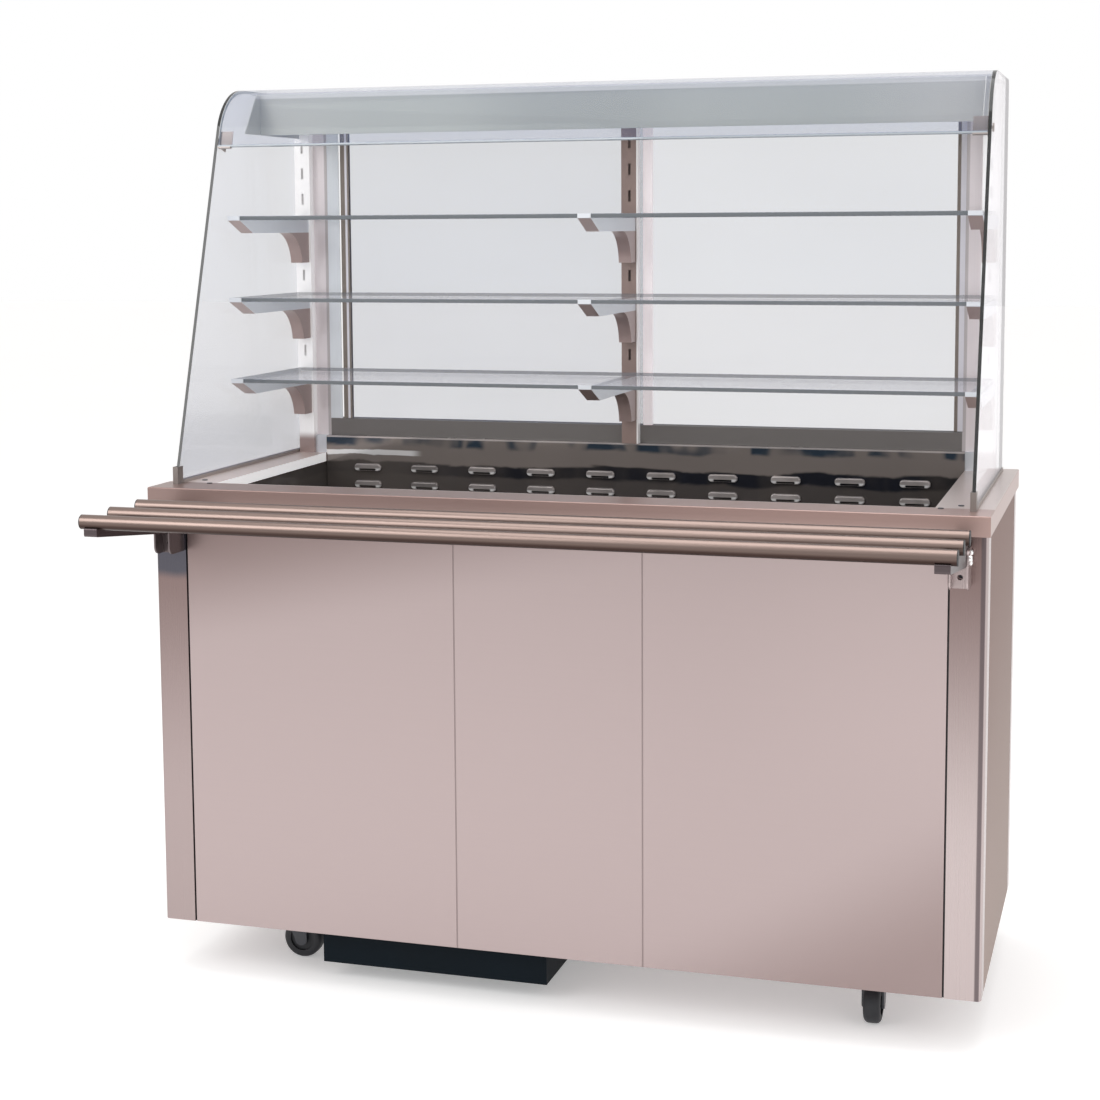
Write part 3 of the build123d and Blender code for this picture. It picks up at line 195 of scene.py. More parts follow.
class Value:
    """A shader socket that takes part in sums: each sum adds a Math node to its material."""

    def __init__(self, finish, socket):
        self.finish = finish
        self.socket = socket

    def math(self, operation, *terms):
        """A Math node on the given terms."""
        return self.finish.node("ShaderNodeMath", {"operation": operation}, dict(enumerate(terms)))

    def __add__(self, other):
        return self.math("ADD", self, other)

    def __sub__(self, other):
        return self.math("SUBTRACT", self, other)

    def __rsub__(self, other):
        return self.math("SUBTRACT", other, self)

    def __mul__(self, other):
        return self.math("MULTIPLY", self, other)

    def __pow__(self, other):
        return self.math("POWER", self, other)

    def __abs__(self):
        return self.math("ABSOLUTE", self)

    __radd__ = __add__
    __rmul__ = __mul__

    def wrap(self, low, high):
        """The value brought back between low and high, over and over."""
        return self.math("WRAP", self, high, low)

    def between(self, low, high):
        """A smooth rise from 0 at low to 1 at high."""
        return self.finish.node(
            "ShaderNodeMapRange",
            {"interpolation_type": "SMOOTHSTEP"},
            {"Value": self, "From Min": low, "From Max": high},
        )


class Finish:
    """A procedural material, built node by node."""

    def __init__(self, name):
        self.material = bpy.data.materials.new(name)
        self.material.use_nodes = True
        self.tree = self.material.node_tree
        self.tree.nodes.clear()

    def node(self, kind, settings=None, inputs=None, output=0):
        """Add a node, set it up, fill its sockets, and return one of its outputs."""
        made = self.tree.nodes.new(kind)
        for key, value in (settings or {}).items():
            setattr(made, key, value)
        for key, value in (inputs or {}).items():
            socket = made.inputs[key]
            if isinstance(value, Value):
                self.tree.links.new(value.socket, socket)
            elif socket.type == "RGBA":
                socket.default_value = (*value, 1.0)
            else:
                socket.default_value = value
        return Value(self, made.outputs[output])

    def axes(self, source):
        """Object place or object normal as three values."""
        vector = self.node("ShaderNodeTexCoord", output=source)
        split = self.node("ShaderNodeSeparateXYZ", inputs={0: vector})
        return [Value(self, socket) for socket in split.socket.node.outputs]

    def grain(self, cells, detail=2.0, swirl=0.0):
        """Noise from 0 to 1, with so many cells a metre along each axis."""
        place = self.node("ShaderNodeTexCoord", output="Object")
        scaled = self.node("ShaderNodeMapping", inputs={"Vector": place, "Scale": cells})
        sockets = {"Vector": scaled, "Scale": 1.0, "Detail": detail, "Distortion": swirl}
        return self.node("ShaderNodeTexNoise", inputs=sockets)

    def mix(self, first, second, share):
        """Two colours mixed by a share."""
        return self.node("ShaderNodeMix", {"data_type": "RGBA"}, {0: share, 6: first, 7: second}, 2)

    def brushed(self, colour, along, darkest=0.93, lightest=1.06):
        """A colour mottled by grain along an axis and by slow clouds, with the grain and the clouds."""
        fine = self.grain(GRAIN_CELLS[along])
        cloud = self.grain(CLOUD_CELLS, 1.0)
        mottle = fine * 0.6 + cloud * 0.4
        return self.mix(dim(colour, darkest), dim(colour, lightest), mottle), fine, cloud

    def bump(self, height, depth):
        """Relief of the given depth in metres."""
        return self.node("ShaderNodeBump", inputs={"Strength": 1.0, "Distance": depth, "Height": height})

    def surface(self, **sockets):
        """End in a Principled shader, with spaces in the socket names written as underscores."""
        filled = {key.replace("_", " "): value for key, value in sockets.items()}
        shader = self.node("ShaderNodeBsdfPrincipled", inputs=filled)
        end = self.tree.nodes.new("ShaderNodeOutputMaterial")
        self.tree.links.new(shader.socket, end.inputs["Surface"])
        return self.material


def give(material, *names):
    """Put a material on CAD nodes."""
    for name in names:
        materials = nodes[name].data.materials
        if materials:
            materials[0] = material
        else:
            materials.append(material)


def satin_roughness(gloss, fine, cloud):
    """Roughness of brushed sheet, broken up by its grain and clouds."""
    return gloss + CLOUD_ROUGH * cloud + GRAIN_ROUGH * fine


def satin_steel(name, colour, along, light_and_shade=(), gloss=0.27, metal=1.0, shine=0.5):
    """Brushed sheet: fine grain, slow clouds, and bands of painted light and shade along one axis each,
    such as the soft shades that its neighbours throw on it.
    """
    finish = Finish(name)
    base, fine, cloud = finish.brushed(colour, along)
    place = finish.axes("Object")
    # Each band mixes in a painted shade or a painted highlight.
    for axis, start, end, tint, strength in light_and_shade:
        base = finish.mix(base, tint, place["xyz".index(axis)].between(start, end) * strength)
    return finish.surface(
        Metallic=metal,
        Specular_IOR_Level=shine,
        Base_Color=base,
        Roughness=satin_roughness(gloss, fine, cloud),
        Normal=finish.bump(fine, GRAIN_DEPTH),
    )


def moulded(name, colour, coarse=260.0, gloss=0.45, shine=0.5):
    """Moulded plastic or paint with a fine orange-peel skin and dulled patches."""
    skin_depth = 0.00008
    finish = Finish(name)
    skin = finish.grain((coarse, coarse, coarse), 2.0)
    patch = finish.grain((12.0, 12.0, 12.0), 3.0)
    return finish.surface(
        Specular_IOR_Level=shine,
        Base_Color=finish.mix(dim(colour, 0.8), dim(colour, 1.25), patch),
        Roughness=gloss + 0.15 * patch,
        Normal=finish.bump(skin, skin_depth),
    )


def hang(name, made, material, body):
    """Turn a finished bmesh into a piece that rides on a body."""
    mesh = bpy.data.meshes.new(name)
    made.to_mesh(mesh)
    made.free()
    mesh.materials.append(material)
    thing = bpy.data.objects.new(name, mesh)
    bpy.context.scene.collection.objects.link(thing)
    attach(thing, body)


def piece(name, boxes, material, body, ease=EDGE_EASE):
    """A new piece made of boxes with eased edges, each given by its low and high corners."""
    made = bmesh.new()
    for low, high in boxes:
        size = Matrix.Diagonal(Vector(high) - Vector(low)).to_4x4()
        middle = Matrix.Translation((Vector(high) + Vector(low)) / 2)
        bmesh.ops.create_cube(made, size=1.0, matrix=middle @ size)
    bmesh.ops.bevel(
        made, geom=made.edges[:], offset=ease, affect="EDGES", segments=2, profile=0.5, material=-1
    )
    hang(name, made, material, body)


def domes(name, centres, radius, height, material, body):
    """Dome nuts that stand out sideways from flat ears, away from the middle of the case."""
    made = bmesh.new()
    size = Matrix.Diagonal((height, radius, radius)).to_4x4()
    for centre in centres:
        ball = bmesh.new()
        bmesh.ops.create_uvsphere(ball, u_segments=20, v_segments=12, radius=1.0, matrix=size)
        outward = math.copysign(1.0, centre[0])
        geometry = ball.verts[:] + ball.edges[:] + ball.faces[:]
        bmesh.ops.bisect_plane(
            ball, geom=geometry, dist=1e-7, plane_co=(0, 0, 0), plane_no=(outward, 0, 0), clear_inner=True
        )
        bmesh.ops.holes_fill(ball, edges=[edge for edge in ball.edges if edge.is_boundary])
        bmesh.ops.translate(ball, verts=ball.verts, vec=centre)
        half = bpy.data.meshes.new(name + "_half")
        ball.to_mesh(half)
        ball.free()
        made.from_mesh(half)
        bpy.data.meshes.remove(half)
    bmesh.ops.recalc_face_normals(made, faces=made.faces[:])
    for face in made.faces:
        face.smooth = True
    hang(name, made, material, body)


class DISPLAYCASE_OT_cabinet(Operator):
    """Finish the posts, panels and floor of the cabinet"""

    bl_idname = "display_case.cabinet"
    bl_label = "Cabinet"

    def execute(self, context):
        """Brush each sheet along its own length, and close the gaps between the sheets."""
        steel = context.scene.case_steel
        self.finish_panels(steel)
        self.fill_gaps(steel, context.scene.case_trim)
        self.finish_posts(steel)
        # Painted shade: the side panels darken from the foot up to the counter.
        side = ("z", panel_low.z, panel_high.z, steel.side_top_shade, 1.0)
        give(
            satin_steel("side_satin", steel.side_low, "z", [side], gloss=0.45, metal=0.5, shine=0.3),
            "side_panel_left", "side_panel_right",
        )
        give(
            satin_steel("rear_satin", steel.panel, "x"),
            "rear_panel", "service_panel", "control_panel", "base_tray",
        )
        return {"FINISHED"}

    def finish_panels(self, steel):
        """One finish across the front panels, with two slanting painted shades and a painted reflection
        that lightens the right.
        """
        panel_grain = 0.00004
        upper_slope = 0.228
        upper_span = (0.76, 0.99)
        lower_slope = 0.56
        lower_span = (0.06, -0.22)
        glow_span = (0.25, 0.68)
        glow_rise = (0.3, 0.6)
        finish = Finish("panel_satin")
        x, _, z = finish.axes("Object")
        base, fine, cloud = finish.brushed(steel.panel, "x", 0.97, 1.03)
        # Painted shade darkens the upper left and the lower right along slanting lines; a painted
        # reflection glows at the right middle.
        upper = (z - upper_slope * x).between(*upper_span)
        lower = (z - lower_slope * x).between(*lower_span)
        glow = x.between(*glow_span) * z.between(*glow_rise)
        lit = finish.mix(base, dim(steel.panel, 1.12), glow * 0.6)
        give(
            finish.surface(
                Metallic=1.0,
                Base_Color=finish.mix(lit, steel.panel_shade, upper * 0.85 + lower * 0.6),
                Roughness=satin_roughness(0.3, fine, cloud),
                Normal=finish.bump(fine, panel_grain),
            ),
            "front_panel_left", "front_panel_middle", "front_panel_right",
        )

    def fill_gaps(self, steel, trim):
        """Fill the seams between the panels, and seal the gaps beside the front posts."""
        seam = 0.0013
        seam_recess = 0.0004
        seams = []
        for x in (panel_low.x - PANEL_GAP / 2, panel_high.x + PANEL_GAP / 2):
            low = (x - seam / 2, panel_low.y + seam_recess, panel_low.z)
            seams.append((low, (x + seam / 2, panel_low.y + seam_recess + 2 * seam, panel_high.z)))
        piece("panel_seams", seams, satin_steel("seam_satin", dim(steel.panel, 0.8), "z"), "cabinet")
        seal_slack = 0.0002
        seal_recess = 0.004
        seal_depth = 0.003
        reach = POST_GAP / 2 - seal_slack
        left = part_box("front_panel_left")[0].x - POST_GAP / 2
        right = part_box("front_panel_right")[1].x + POST_GAP / 2
        seals = []
        for x in (left, right):
            low = (x - reach, panel_low.y + seal_recess, panel_low.z)
            seals.append((low, (x + reach, panel_low.y + seal_recess + seal_depth, panel_high.z)))
        piece("post_seals", seals, moulded("seal_rubber", trim.plastic), "cabinet")

    def finish_posts(self, steel):
        """Polished posts: painted shade under the counter and on the left post, a painted blue reflection
        under the left tray bracket, and a painted dark reflection line near the right post's outer edge
        with a painted highlight on its corner.
        """
        shade_foot = panel_low.z + 0.22
        bracket_foot = panel_high.z - 0.155
        line_start = cad_high.x - 0.017
        line_end = cad_high.x - 0.009
        start_fade = 0.003
        end_fade = 0.002
        fade = 0.02
        sway = 0.05
        finish = Finish("post_satin")
        x, y, z = finish.axes("Object")
        base, fine, cloud = finish.brushed(steel.post_low, "z")
        left = x.between(0.0, -0.4)
        wavy = z + sway * (finish.grain((9.0, 9.0, 3.0), 1.0) - 0.5)
        facing = y.between(panel_low.y + 2 * fade, panel_low.y + fade)
        under = facing * wavy.between(bracket_foot - fade, bracket_foot)
        # Painted shade on the post tops and the left post, a painted blue reflection under the left
        # bracket, a painted dark reflection line near the right edge and a painted highlight on the corner.
        for tint, share in (
            (steel.post_top_shade, z.between(shade_foot, panel_high.z)),
            (steel.post_top_shade, left * 0.4),
            (steel.well_blue, left * under * 0.7),
            (steel.hinge, x.between(line_start, line_start + start_fade) * 0.9),
            (steel.post_low, x.between(line_end, line_end + end_fade)),
        ):
            base = finish.mix(base, tint, share)
        give(
            finish.surface(
                Metallic=1.0,
                Base_Color=base,
                Roughness=satin_roughness(0.2, fine, cloud),
                Normal=finish.bump(fine, GRAIN_DEPTH),
            ),
            "corner_posts",
        )


class DISPLAYCASE_OT_counter(Operator):
    """Finish the counter top and the sill"""

    bl_idname = "display_case.counter"
    bl_label = "Counter"

    def execute(self, context):
        """Give the rim its satin, the folded front edge its painted shade and the folds into the well their
        painted highlight, and finish the sill.
        """
        steel = context.scene.case_steel
        wall_low, wall_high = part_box("well_back")
        self.finish_rim(steel, wall_low, wall_high)
        self.finish_sill(steel, wall_high)
        return {"FINISHED"}

    def finish_rim(self, steel, wall_low, wall_high):
        """A pale rim that lightens to the left, a front edge in painted shade that darkens to the left, and
        a painted highlight on the fold down into the well at each end, glowing at the left.
        """
        rim_front = counter_low.y + 0.080
        rim_fade = 0.005
        well_fade = 0.010
        lip_reach = 0.004
        finish = Finish("rim_satin")
        x, y, _ = finish.axes("Object")
        level = finish.axes("Normal")[2].between(*FACE_SPAN)
        fine = finish.grain(GRAIN_CELLS["x"])
        cloud = finish.grain(CLOUD_CELLS, 1.0)
        front = y.between(rim_front + rim_fade, rim_front)
        right = x.between(-0.3, 0.75)
        # Painted light and shade: the rim lightens to the left, and the front edge and the front strip of
        # the top take the fascia tone as painted shade, darkest at the left.
        rim = finish.mix(dim(steel.rim, 1.25), steel.rim, right)
        front_shade = finish.mix(dim(steel.fascia, 0.72), dim(steel.fascia, 1.12), right)
        top = finish.mix(rim, front_shade, front)
        inside = abs(x).between(wall_high.x + lip_reach, wall_high.x + lip_reach / 2)
        behind = y.between(rim_front - well_fade, rim_front)
        before = y.between(wall_low.y + lip_reach, wall_low.y)
        # Painted highlight: the fold into the well at each end turns white and matte, with a painted glow
        # at the left end.
        bright = inside * behind * before * (1 - level)
        base = finish.mix(finish.mix(front_shade, top, level), steel.bright, bright)
        give(
            finish.surface(
                Metallic=0.55 * (1 - bright),
                Emission_Color=finish.mix(BLACK, steel.bright, bright * x.between(0.4, -0.4)),
                Emission_Strength=0.3,
                Base_Color=finish.mix(base, dim(steel.fascia, 0.9), fine * 0.12 + cloud * 0.08),
                Roughness=satin_roughness(0.24, fine, cloud),
                Normal=finish.bump(fine, GRAIN_DEPTH),
            ),
            "counter_top",
        )

    def finish_sill(self, steel, wall_high):
        """A blotched sill that lightens to the right, with pale ends."""
        end_line = 0.0005
        finish = Finish("sill_satin")
        x = finish.axes("Object")[0]
        end = abs(x).between(wall_high.x - end_line, wall_high.x + end_line)
        blotch = finish.grain((16.0, 1.0, 2.0), 2.0).between(0.35, 0.7)
        plain = finish.mix(steel.sill, dim(steel.sill, 1.6), x.between(0.0, 0.6))
        sill = finish.mix(plain, dim(steel.sill, 0.72), blotch * 0.8)
        give(
            finish.surface(
                Metallic=0.5,
                Base_Color=finish.mix(sill, steel.arm, end),
                Roughness=0.2 + 0.1 * blotch,
            ),
            "rear_sill",
        )


class DISPLAYCASE_OT_well(Operator):
    """Finish the polished well"""

    bl_idname = "display_case.well"
    bl_label = "Chilled well"

    def execute(self, context):
        """Paint reflections into the glossy liner, the deck and the louvred wall."""
        steel = context.scene.case_steel
        ripple_depth = 0.0008
        plain_foot = counter_high.z - 0.020
        plain_top = counter_high.z - 0.014
        brown_top = counter_high.z - 0.038
        brown_foot = counter_high.z - 0.046
        for name, node in (
            ("liner_mirror", "well_liner"),
            ("deck_mirror", "well_deck"),
            ("louvre_mirror", "well_back"),
        ):
            finish = Finish(name)
            place = finish.axes("Object")
            # Painted reflections: wavy brown, slate and paler bands with mottled dark patches stand in for
            # what the polished well reflects.
            waves = finish.grain((7.0, 2.0, 16.0), 3.0, 0.8) - 0.5
            wavy = place[2] + WAVE_HEIGHT * waves
            painted_mottle = finish.grain((11.0, 4.0, 3.0), 2.0, 0.6).between(0.4, 0.7)
            brown = dim(steel.well_mid, 0.5)
            slate = finish.mix(steel.well_dark, dim(steel.well_mid, 0.3), painted_mottle * 0.7)
            deep = finish.mix(slate, brown, place[0].between(-0.25, -0.5) * 0.8)
            low = finish.mix(deep, brown, wavy.between(brown_top, brown_foot) * 0.7)
            base = finish.mix(low, steel.well_mid, wavy.between(plain_foot, plain_top))
            if node == "well_back":
                wall = self.colour_wall(finish, steel, base, place, waves)
                base = self.colour_hoods(finish, steel, wall, place, painted_mottle)
            ripple = finish.grain((14.0, 14.0, 14.0), 1.0)
            give(
                finish.surface(
                    Metallic=0.4,
                    Base_Color=base,
                    Roughness=0.07 + 0.08 * ripple,
                    Normal=finish.bump(ripple, ripple_depth),
                ),
                node,
            )
        return {"FINISHED"}

    def colour_wall(self, finish, steel, base, place, waves):
        """Painted blue reflections along the top of the rear wall, a painted white glint at its left and a
        painted highlight on its top edge.
        """
        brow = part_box("well_back")[1].z - 0.004
        brow_fade = 0.001
        patch_top = brow - 0.008
        patch_fade = 0.010
        glint_foot = counter_high.z - 0.001
        glint_top = counter_high.z + 0.007
        glint_fade = 0.002
        glint_side = (-0.44, -0.47)
        swell_height = 0.022
        wavy = place[2] + WAVE_HEIGHT * waves
        # Painted reflections: blue patches, a wavy white glint and a pale highlight along the top edge.
        patch = finish.grain((18.0, 4.0, 9.0), 1.0, 0.4).between(0.4, 0.6)
        shade = finish.mix(base, steel.well_blue, patch * wavy.between(patch_top - patch_fade, patch_top))
        swell = place[2] + swell_height * waves
        over = swell.between(glint_foot - glint_fade, glint_foot)
        under = swell.between(glint_top + glint_fade, glint_top)
        glint = over * under * place[0].between(*glint_side)
        white = finish.mix(shade, steel.bright, glint)
        return finish.mix(white, steel.louvre, place[2].between(brow, brow + brow_fade) * 0.7)

    def colour_hoods(self, finish, steel, wall, place, painted_mottle):
        """Pale pressed hoods, painted darker towards the left and with painted glints on their lower
        corners, on the rear wall's colour.
        """
        hood_pitch = 0.125
        hood_rows = 0.035
        hood_row = counter_high.z - 0.0285
        hood_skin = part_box("well_back")[0].y + 0.003
        hood_fade = 0.0018
        corner_span = (0.015, 0.021)
        lower_lip = 0.003
        # Painted light and shade: the hoods darken towards the left and in mottled patches, and painted
        # glints light their lower corners.
        across = abs(place[0].wrap(0.0, hood_pitch) - hood_pitch / 2)
        up = (place[2] - hood_row).wrap(-hood_rows / 2, hood_rows / 2)
        corner = across.between(*corner_span) * up.between(0.0, -lower_lip)
        lit = 0.3 * painted_mottle + 0.3 * place[0].between(-0.4, 0.3)
        plain = finish.mix(dim(steel.louvre, 0.35), steel.louvre, lit)
        hood = finish.mix(plain, steel.bright, corner)
        return finish.mix(wall, hood, place[1].between(hood_skin + hood_fade, hood_skin))


class DISPLAYCASE_OT_glass(Operator):
    """Finish the glass"""

    bl_idname = "display_case.glass"
    bl_label = "Glass"

    def execute(self, context):
        """Clear faces with a faint tint and a painted glare at low angles, and grey edges."""
        glass = context.scene.case_glass
        lip_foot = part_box("visor_glass")[0].z + 0.004
        lip_fade = 0.002
        edge_hold = 0.97
        slant_hold = 0.5
        smear_hold = 0.03
        for axis, body, edge, names in (
            ("x", glass.pane, glass.end_edge, ("end_glass_left", "end_glass_right")),
            # Painted shade: the left door pane holds back more light than the right one.
            ("y", glass.pane * 1.12, glass.edge, ("door_left_pane",)),
            ("y", glass.pane * 0.85, glass.edge, ("door_right_pane",)),
            ("z", glass.shelf, glass.edge, ("shelf_glass_top", "shelf_glass_middle", "shelf_glass_bottom")),
            ("yz", glass.shelf * 2.2, glass.edge, ("visor_glass",)),
        ):
            finish = Finish(names[0] + "_clear")
            normal = finish.axes("Normal")
            if axis == "yz":
                lip = finish.axes("Object")[2].between(lip_foot, lip_foot + lip_fade)
                face = lip * (1 - abs(normal[0]).between(*FACE_SPAN))
            else:
                face = abs(normal["xyz".index(axis)]).between(*FACE_SPAN)
            facing = finish.node("ShaderNodeLayerWeight", inputs={"Blend": 0.5}, output="Facing")
            smear = finish.grain((3.0, 3.0, 5.0), 3.0)
            pane = body + slant_hold * facing ** 5.0 + smear_hold * smear
            hold = face * pane + (1 - face) * edge_hold
            glare_power = 6.0
            glow = 0.0
            rim = edge
            if axis == "x":
                x, _, z = finish.axes("Object")
                # The left end glass holds back more light in two bands over the counter.
                left_band_hold = 0.06 * z.between(1.25, 0.95) + 0.07 * z.between(1.08, 0.97)
                hold = hold + face * left_band_hold * x.between(0.3, -0.3)
                glare_power = 2.0
                # Painted glow: the end glass emits its glare at low angles.
                glow = face * facing ** 4.0
            # Painted shade: the shelf glass edges darken where they face the front.
            if axis == "z":
                rim = finish.mix(edge, dim(edge, 0.4), normal[1].between(-0.4, -0.7))
            # Painted reflection: the glass colour turns to the pale glare at low angles.
            clear = finish.mix(glass.tint, glass.glare, facing ** glare_power)
            give(
                finish.surface(
                    Base_Color=finish.mix(rim, clear, face),
                    Roughness=0.02 + 0.02 * smear,
                    IOR=1.5,
                    Emission_Color=finish.mix(BLACK, glass.glare, glow),
                    Emission_Strength=0.3,
                    Alpha=hold,
                ),
                *names,
            )
        return {"FINISHED"}


class DISPLAYCASE_OT_structure(Operator):
    """Finish the uprights, brackets, canopy, rails and lamp"""

    bl_idname = "display_case.structure"
    bl_label = "Display structure"

    def execute(self, context):
        """Bright satin on the shelf supports, cooler satin on the canopy, both with painted light and
        shade.
        """
        steel = context.scene.case_steel
        self.finish_uprights(steel)
        self.back_slots(steel)
        self.finish_brackets(steel)
        give(satin_steel("clip_satin", steel.clip, "y", gloss=0.2, metal=0.5), "visor_clips")
        shoe_length = 0.030
        shoe_fade = 0.010
        shoe_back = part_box("glass_rails")[0].y + shoe_length
        shoe = ("y", shoe_back, shoe_back - shoe_fade, dim(steel.clip, 0.7), 1.0)
        give(
            satin_steel("rail_satin", steel.clip, "y", [shoe], gloss=0.3, metal=0.4, shine=0.2),
            "glass_rails",
        )
        fold_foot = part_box("light_canopy")[1].z - 0.010
        fold_fade = 0.003
        # Painted light and shade on the canopy: lighter ends, a painted shade through the middle and a
        # painted highlight along the top fold.
        light_and_shade = [
            ("x", -0.45, -0.75, steel.louvre, 0.15),
            ("x", -0.35, -0.1, dim(steel.canopy, 0.84), 1.0),
            ("x", 0.0, 0.2, steel.canopy, 0.8),
            ("x", 0.4, 0.7, steel.louvre, 0.25),
            ("z", fold_foot, fold_foot + fold_fade, steel.bright, 0.4),
        ]
        give(
            satin_steel("canopy_satin", steel.canopy, "x", light_and_shade, gloss=0.34, metal=0.35),
            "light_canopy",
        )
        finish = Finish("lamp_opal")
        cloud = finish.grain((40.0, 8.0, 8.0), 1.0)
        give(
            finish.surface(
                Base_Color=finish.mix(tone(236, 236, 230), tone(250, 250, 246), cloud),
                Roughness=0.25,
                Coat_Weight=0.4,
            ),
            "lamp_tube",
        )
        return {"FINISHED"}

    def finish_uprights(self, steel):
        """Pale outer uprights with painted shade on their feet, and a middle one painted a darker brown
        shade with a painted highlight on its right edge, all with a faint painted glow.
        """
        middle_edge = 0.0135
        edge_fade = 0.0007
        foot_fade = 0.01
        sill_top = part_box("rear_sill")[1].z
        finish = Finish("upright_satin")
        x, _, z = finish.axes("Object")
        fine = finish.grain(GRAIN_CELLS["z"])
        painted_mottle = finish.grain((6.0, 6.0, 5.0), 2.0).between(0.4, 0.7)
        # Painted shade: the middle upright is a mottled brown with a painted highlight on its right edge,
        # and the outer uprights' feet darken below the sill top.
        brown = finish.mix(steel.upright, dim(steel.upright, 0.7), painted_mottle)
        middle = finish.mix(brown, steel.bright, x.between(middle_edge, middle_edge + edge_fade) * 0.8)
        foot = z.between(sill_top + foot_fade, sill_top - foot_fade)
        pale = finish.mix(steel.bright, dim(steel.gusset, 0.8), foot)
        colour = finish.mix(middle, pale, abs(x).between(0.2, 0.4))
        give(
            finish.surface(
                Metallic=0.2,
                Base_Color=colour,
                Roughness=0.2 + 0.1 * fine,
                # Painted glow: the uprights emit their own colour faintly.
                Emission_Color=colour,
                Emission_Strength=0.14,
            ),
            "uprights",
        )

    def back_slots(self, steel):
        """A plate behind each upright's slots, a shaded copy of its upright's colour as painted shade
        inside the channel.
        """
        half = 0.0145
        plate = 0.001
        end_gap = 0.004
        low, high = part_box("uprights")
        inset = 0.0165
        recess = 0.006
        side = high.x - inset
        front = low.y + recess
        sill_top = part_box("rear_sill")[1].z
        pale = moulded("slot_pale", dim(steel.bright, 0.8))
        brown = moulded("slot_brown", dim(steel.upright, 0.5))
        for name, x, foot, shade in (
            ("slot_back_left", -side, low.z, pale),
            ("slot_back_middle", 0.0, sill_top, brown),
            ("slot_back_right", side, low.z, pale),
        ):
            back = ((x - half, front, foot + end_gap), (x + half, front + plate, high.z - end_gap))
            piece(name, [back], shade, "cabinet")

    def finish_brackets(self, steel):
        """Pale arms with darker, warmer feet, painted shade on the faces turned to the front, and a painted
        highlight on the lip at the very front.
        """
        gusset_height = 0.062
        gusset_fade = 0.001
        lip_depth = 0.002
        lip_fade = 0.0002
        nose_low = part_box("shelf_brackets")[0]
        finish = Finish("bracket_satin")
        _, y, z = finish.axes("Object")
        tier = (z - nose_low.z).wrap(0.0, TIER_PITCH)
        foot = tier.between(gusset_height, gusset_height - gusset_fade)
        side = finish.mix(steel.arm, steel.gusset, foot)
        # Painted shade on the faces turned to the front, and a painted highlight on the lip at the very
        # front.
        front = finish.axes("Normal")[1].between(-0.2, -0.35)
        lip_back = nose_low.y + lip_depth
        lip = y.between(lip_back + lip_fade, lip_back - lip_fade)
        nose = finish.mix(finish.mix(side, steel.gusset, front), dim(steel.arm, 0.9), lip)
        fine = finish.grain(GRAIN_CELLS["y"])
        give(
            finish.surface(Metallic=0.2, Base_Color=nose, Roughness=0.25 + 0.1 * fine),
            "shelf_brackets",
        )


class DISPLAYCASE_OT_doors(Operator):
    """Finish the door frame and the door edges"""

    bl_idname = "display_case.doors"
    bl_label = "Rear doors"

    def execute(self, context):
        """Satin anodised profiles, and a lip on the left jamb."""
        trim = context.scene.case_trim
        frame_low, frame_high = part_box("door_frame")
        stile = 0.031
        lip_inset = 0.0005
        side_clearance = 0.002
        face_clearance = 0.0015
        jamb_edge = frame_high.x - stile
        self.finish_frame(trim, jamb_edge)
        for name, node, start, end in (
            ("left_edge_anodised", "door_left_edges", 0.009, 0.015),
            ("right_edge_anodised", "door_right_edges", -0.002, 0.012),
        ):
            self.finish_edges(trim, name, node, start, end)
        edge_low, edge_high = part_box("door_left_edges")
        lip_low = (-jamb_edge, frame_low.y + lip_inset, edge_low.z)
        lip_high = (edge_low.x - side_clearance, edge_low.y - face_clearance, edge_high.z)
        anodised = satin_steel("lip_anodised", trim.lip, "z", metal=0.0)
        piece("jamb_lip", [(lip_low, lip_high)], anodised, "cabinet")
        return {"FINISHED"}

    def finish_frame(self, trim, jamb_edge):
        """Grey rails and pale jambs with a dark line beside the opening, and a painted highlight on the
        faces turned sideways.
        """
        jamb_fade = 0.001
        line_width = 0.005
        line_fade = 0.002
        finish = Finish("frame_anodised")
        x = finish.axes("Object")[0]
        fine = finish.grain(GRAIN_CELLS["z"])
        jamb = abs(x).between(jamb_edge - jamb_fade, jamb_edge)
        rail = finish.mix(trim.track, trim.jamb, jamb)
        line_edge = jamb_edge + line_width
        lined = abs(x).between(line_edge + line_fade, line_edge)
        front = finish.mix(rail, trim.track, jamb * lined * 0.45)
        # Painted highlight: faces turned sideways take the pale reveal tone.
        turned = abs(finish.axes("Normal")[0]).between(*FACE_SPAN)
        give(
            finish.surface(
                Metallic=0.3,
                Base_Color=finish.mix(finish.mix(front, trim.reveal, turned), trim.track, fine * 0.12),
                Roughness=0.3 + 0.1 * fine,
            ),
            "door_frame",
        )

    def finish_edges(self, trim, name, node, start, end):
        """A bronze outer stile with a painted highlight stripe, and a pale stile where the doors meet, with
        a painted glow.
        """
        stripe_fade = 0.001
        meeting_span = (0.1, 0.2)
        low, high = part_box(node)
        finish = Finish(name)
        x = finish.axes("Object")[0]
        fine = finish.grain(GRAIN_CELLS["z"])
        inward = x - low.x if node == "door_left_edges" else high.x - x
        # Painted highlight: a pale stripe along the outer stile.
        highlight_stripe = inward.between(start, start + stripe_fade) * inward.between(end, end - stripe_fade)
        outer = finish.mix(trim.bronze, trim.reveal, highlight_stripe)
        # Painted glow: the stile where the doors meet emits its pale jamb colour.
        meeting = inward.between(*meeting_span)
        give(
            finish.surface(
                Metallic=0.2 * (1 - meeting),
                Base_Color=finish.mix(outer, trim.jamb, meeting),
                Emission_Color=finish.mix(BLACK, trim.jamb, meeting),
                Emission_Strength=0.25,
                Roughness=0.3 + 0.1 * fine,
            ),
            node,
        )


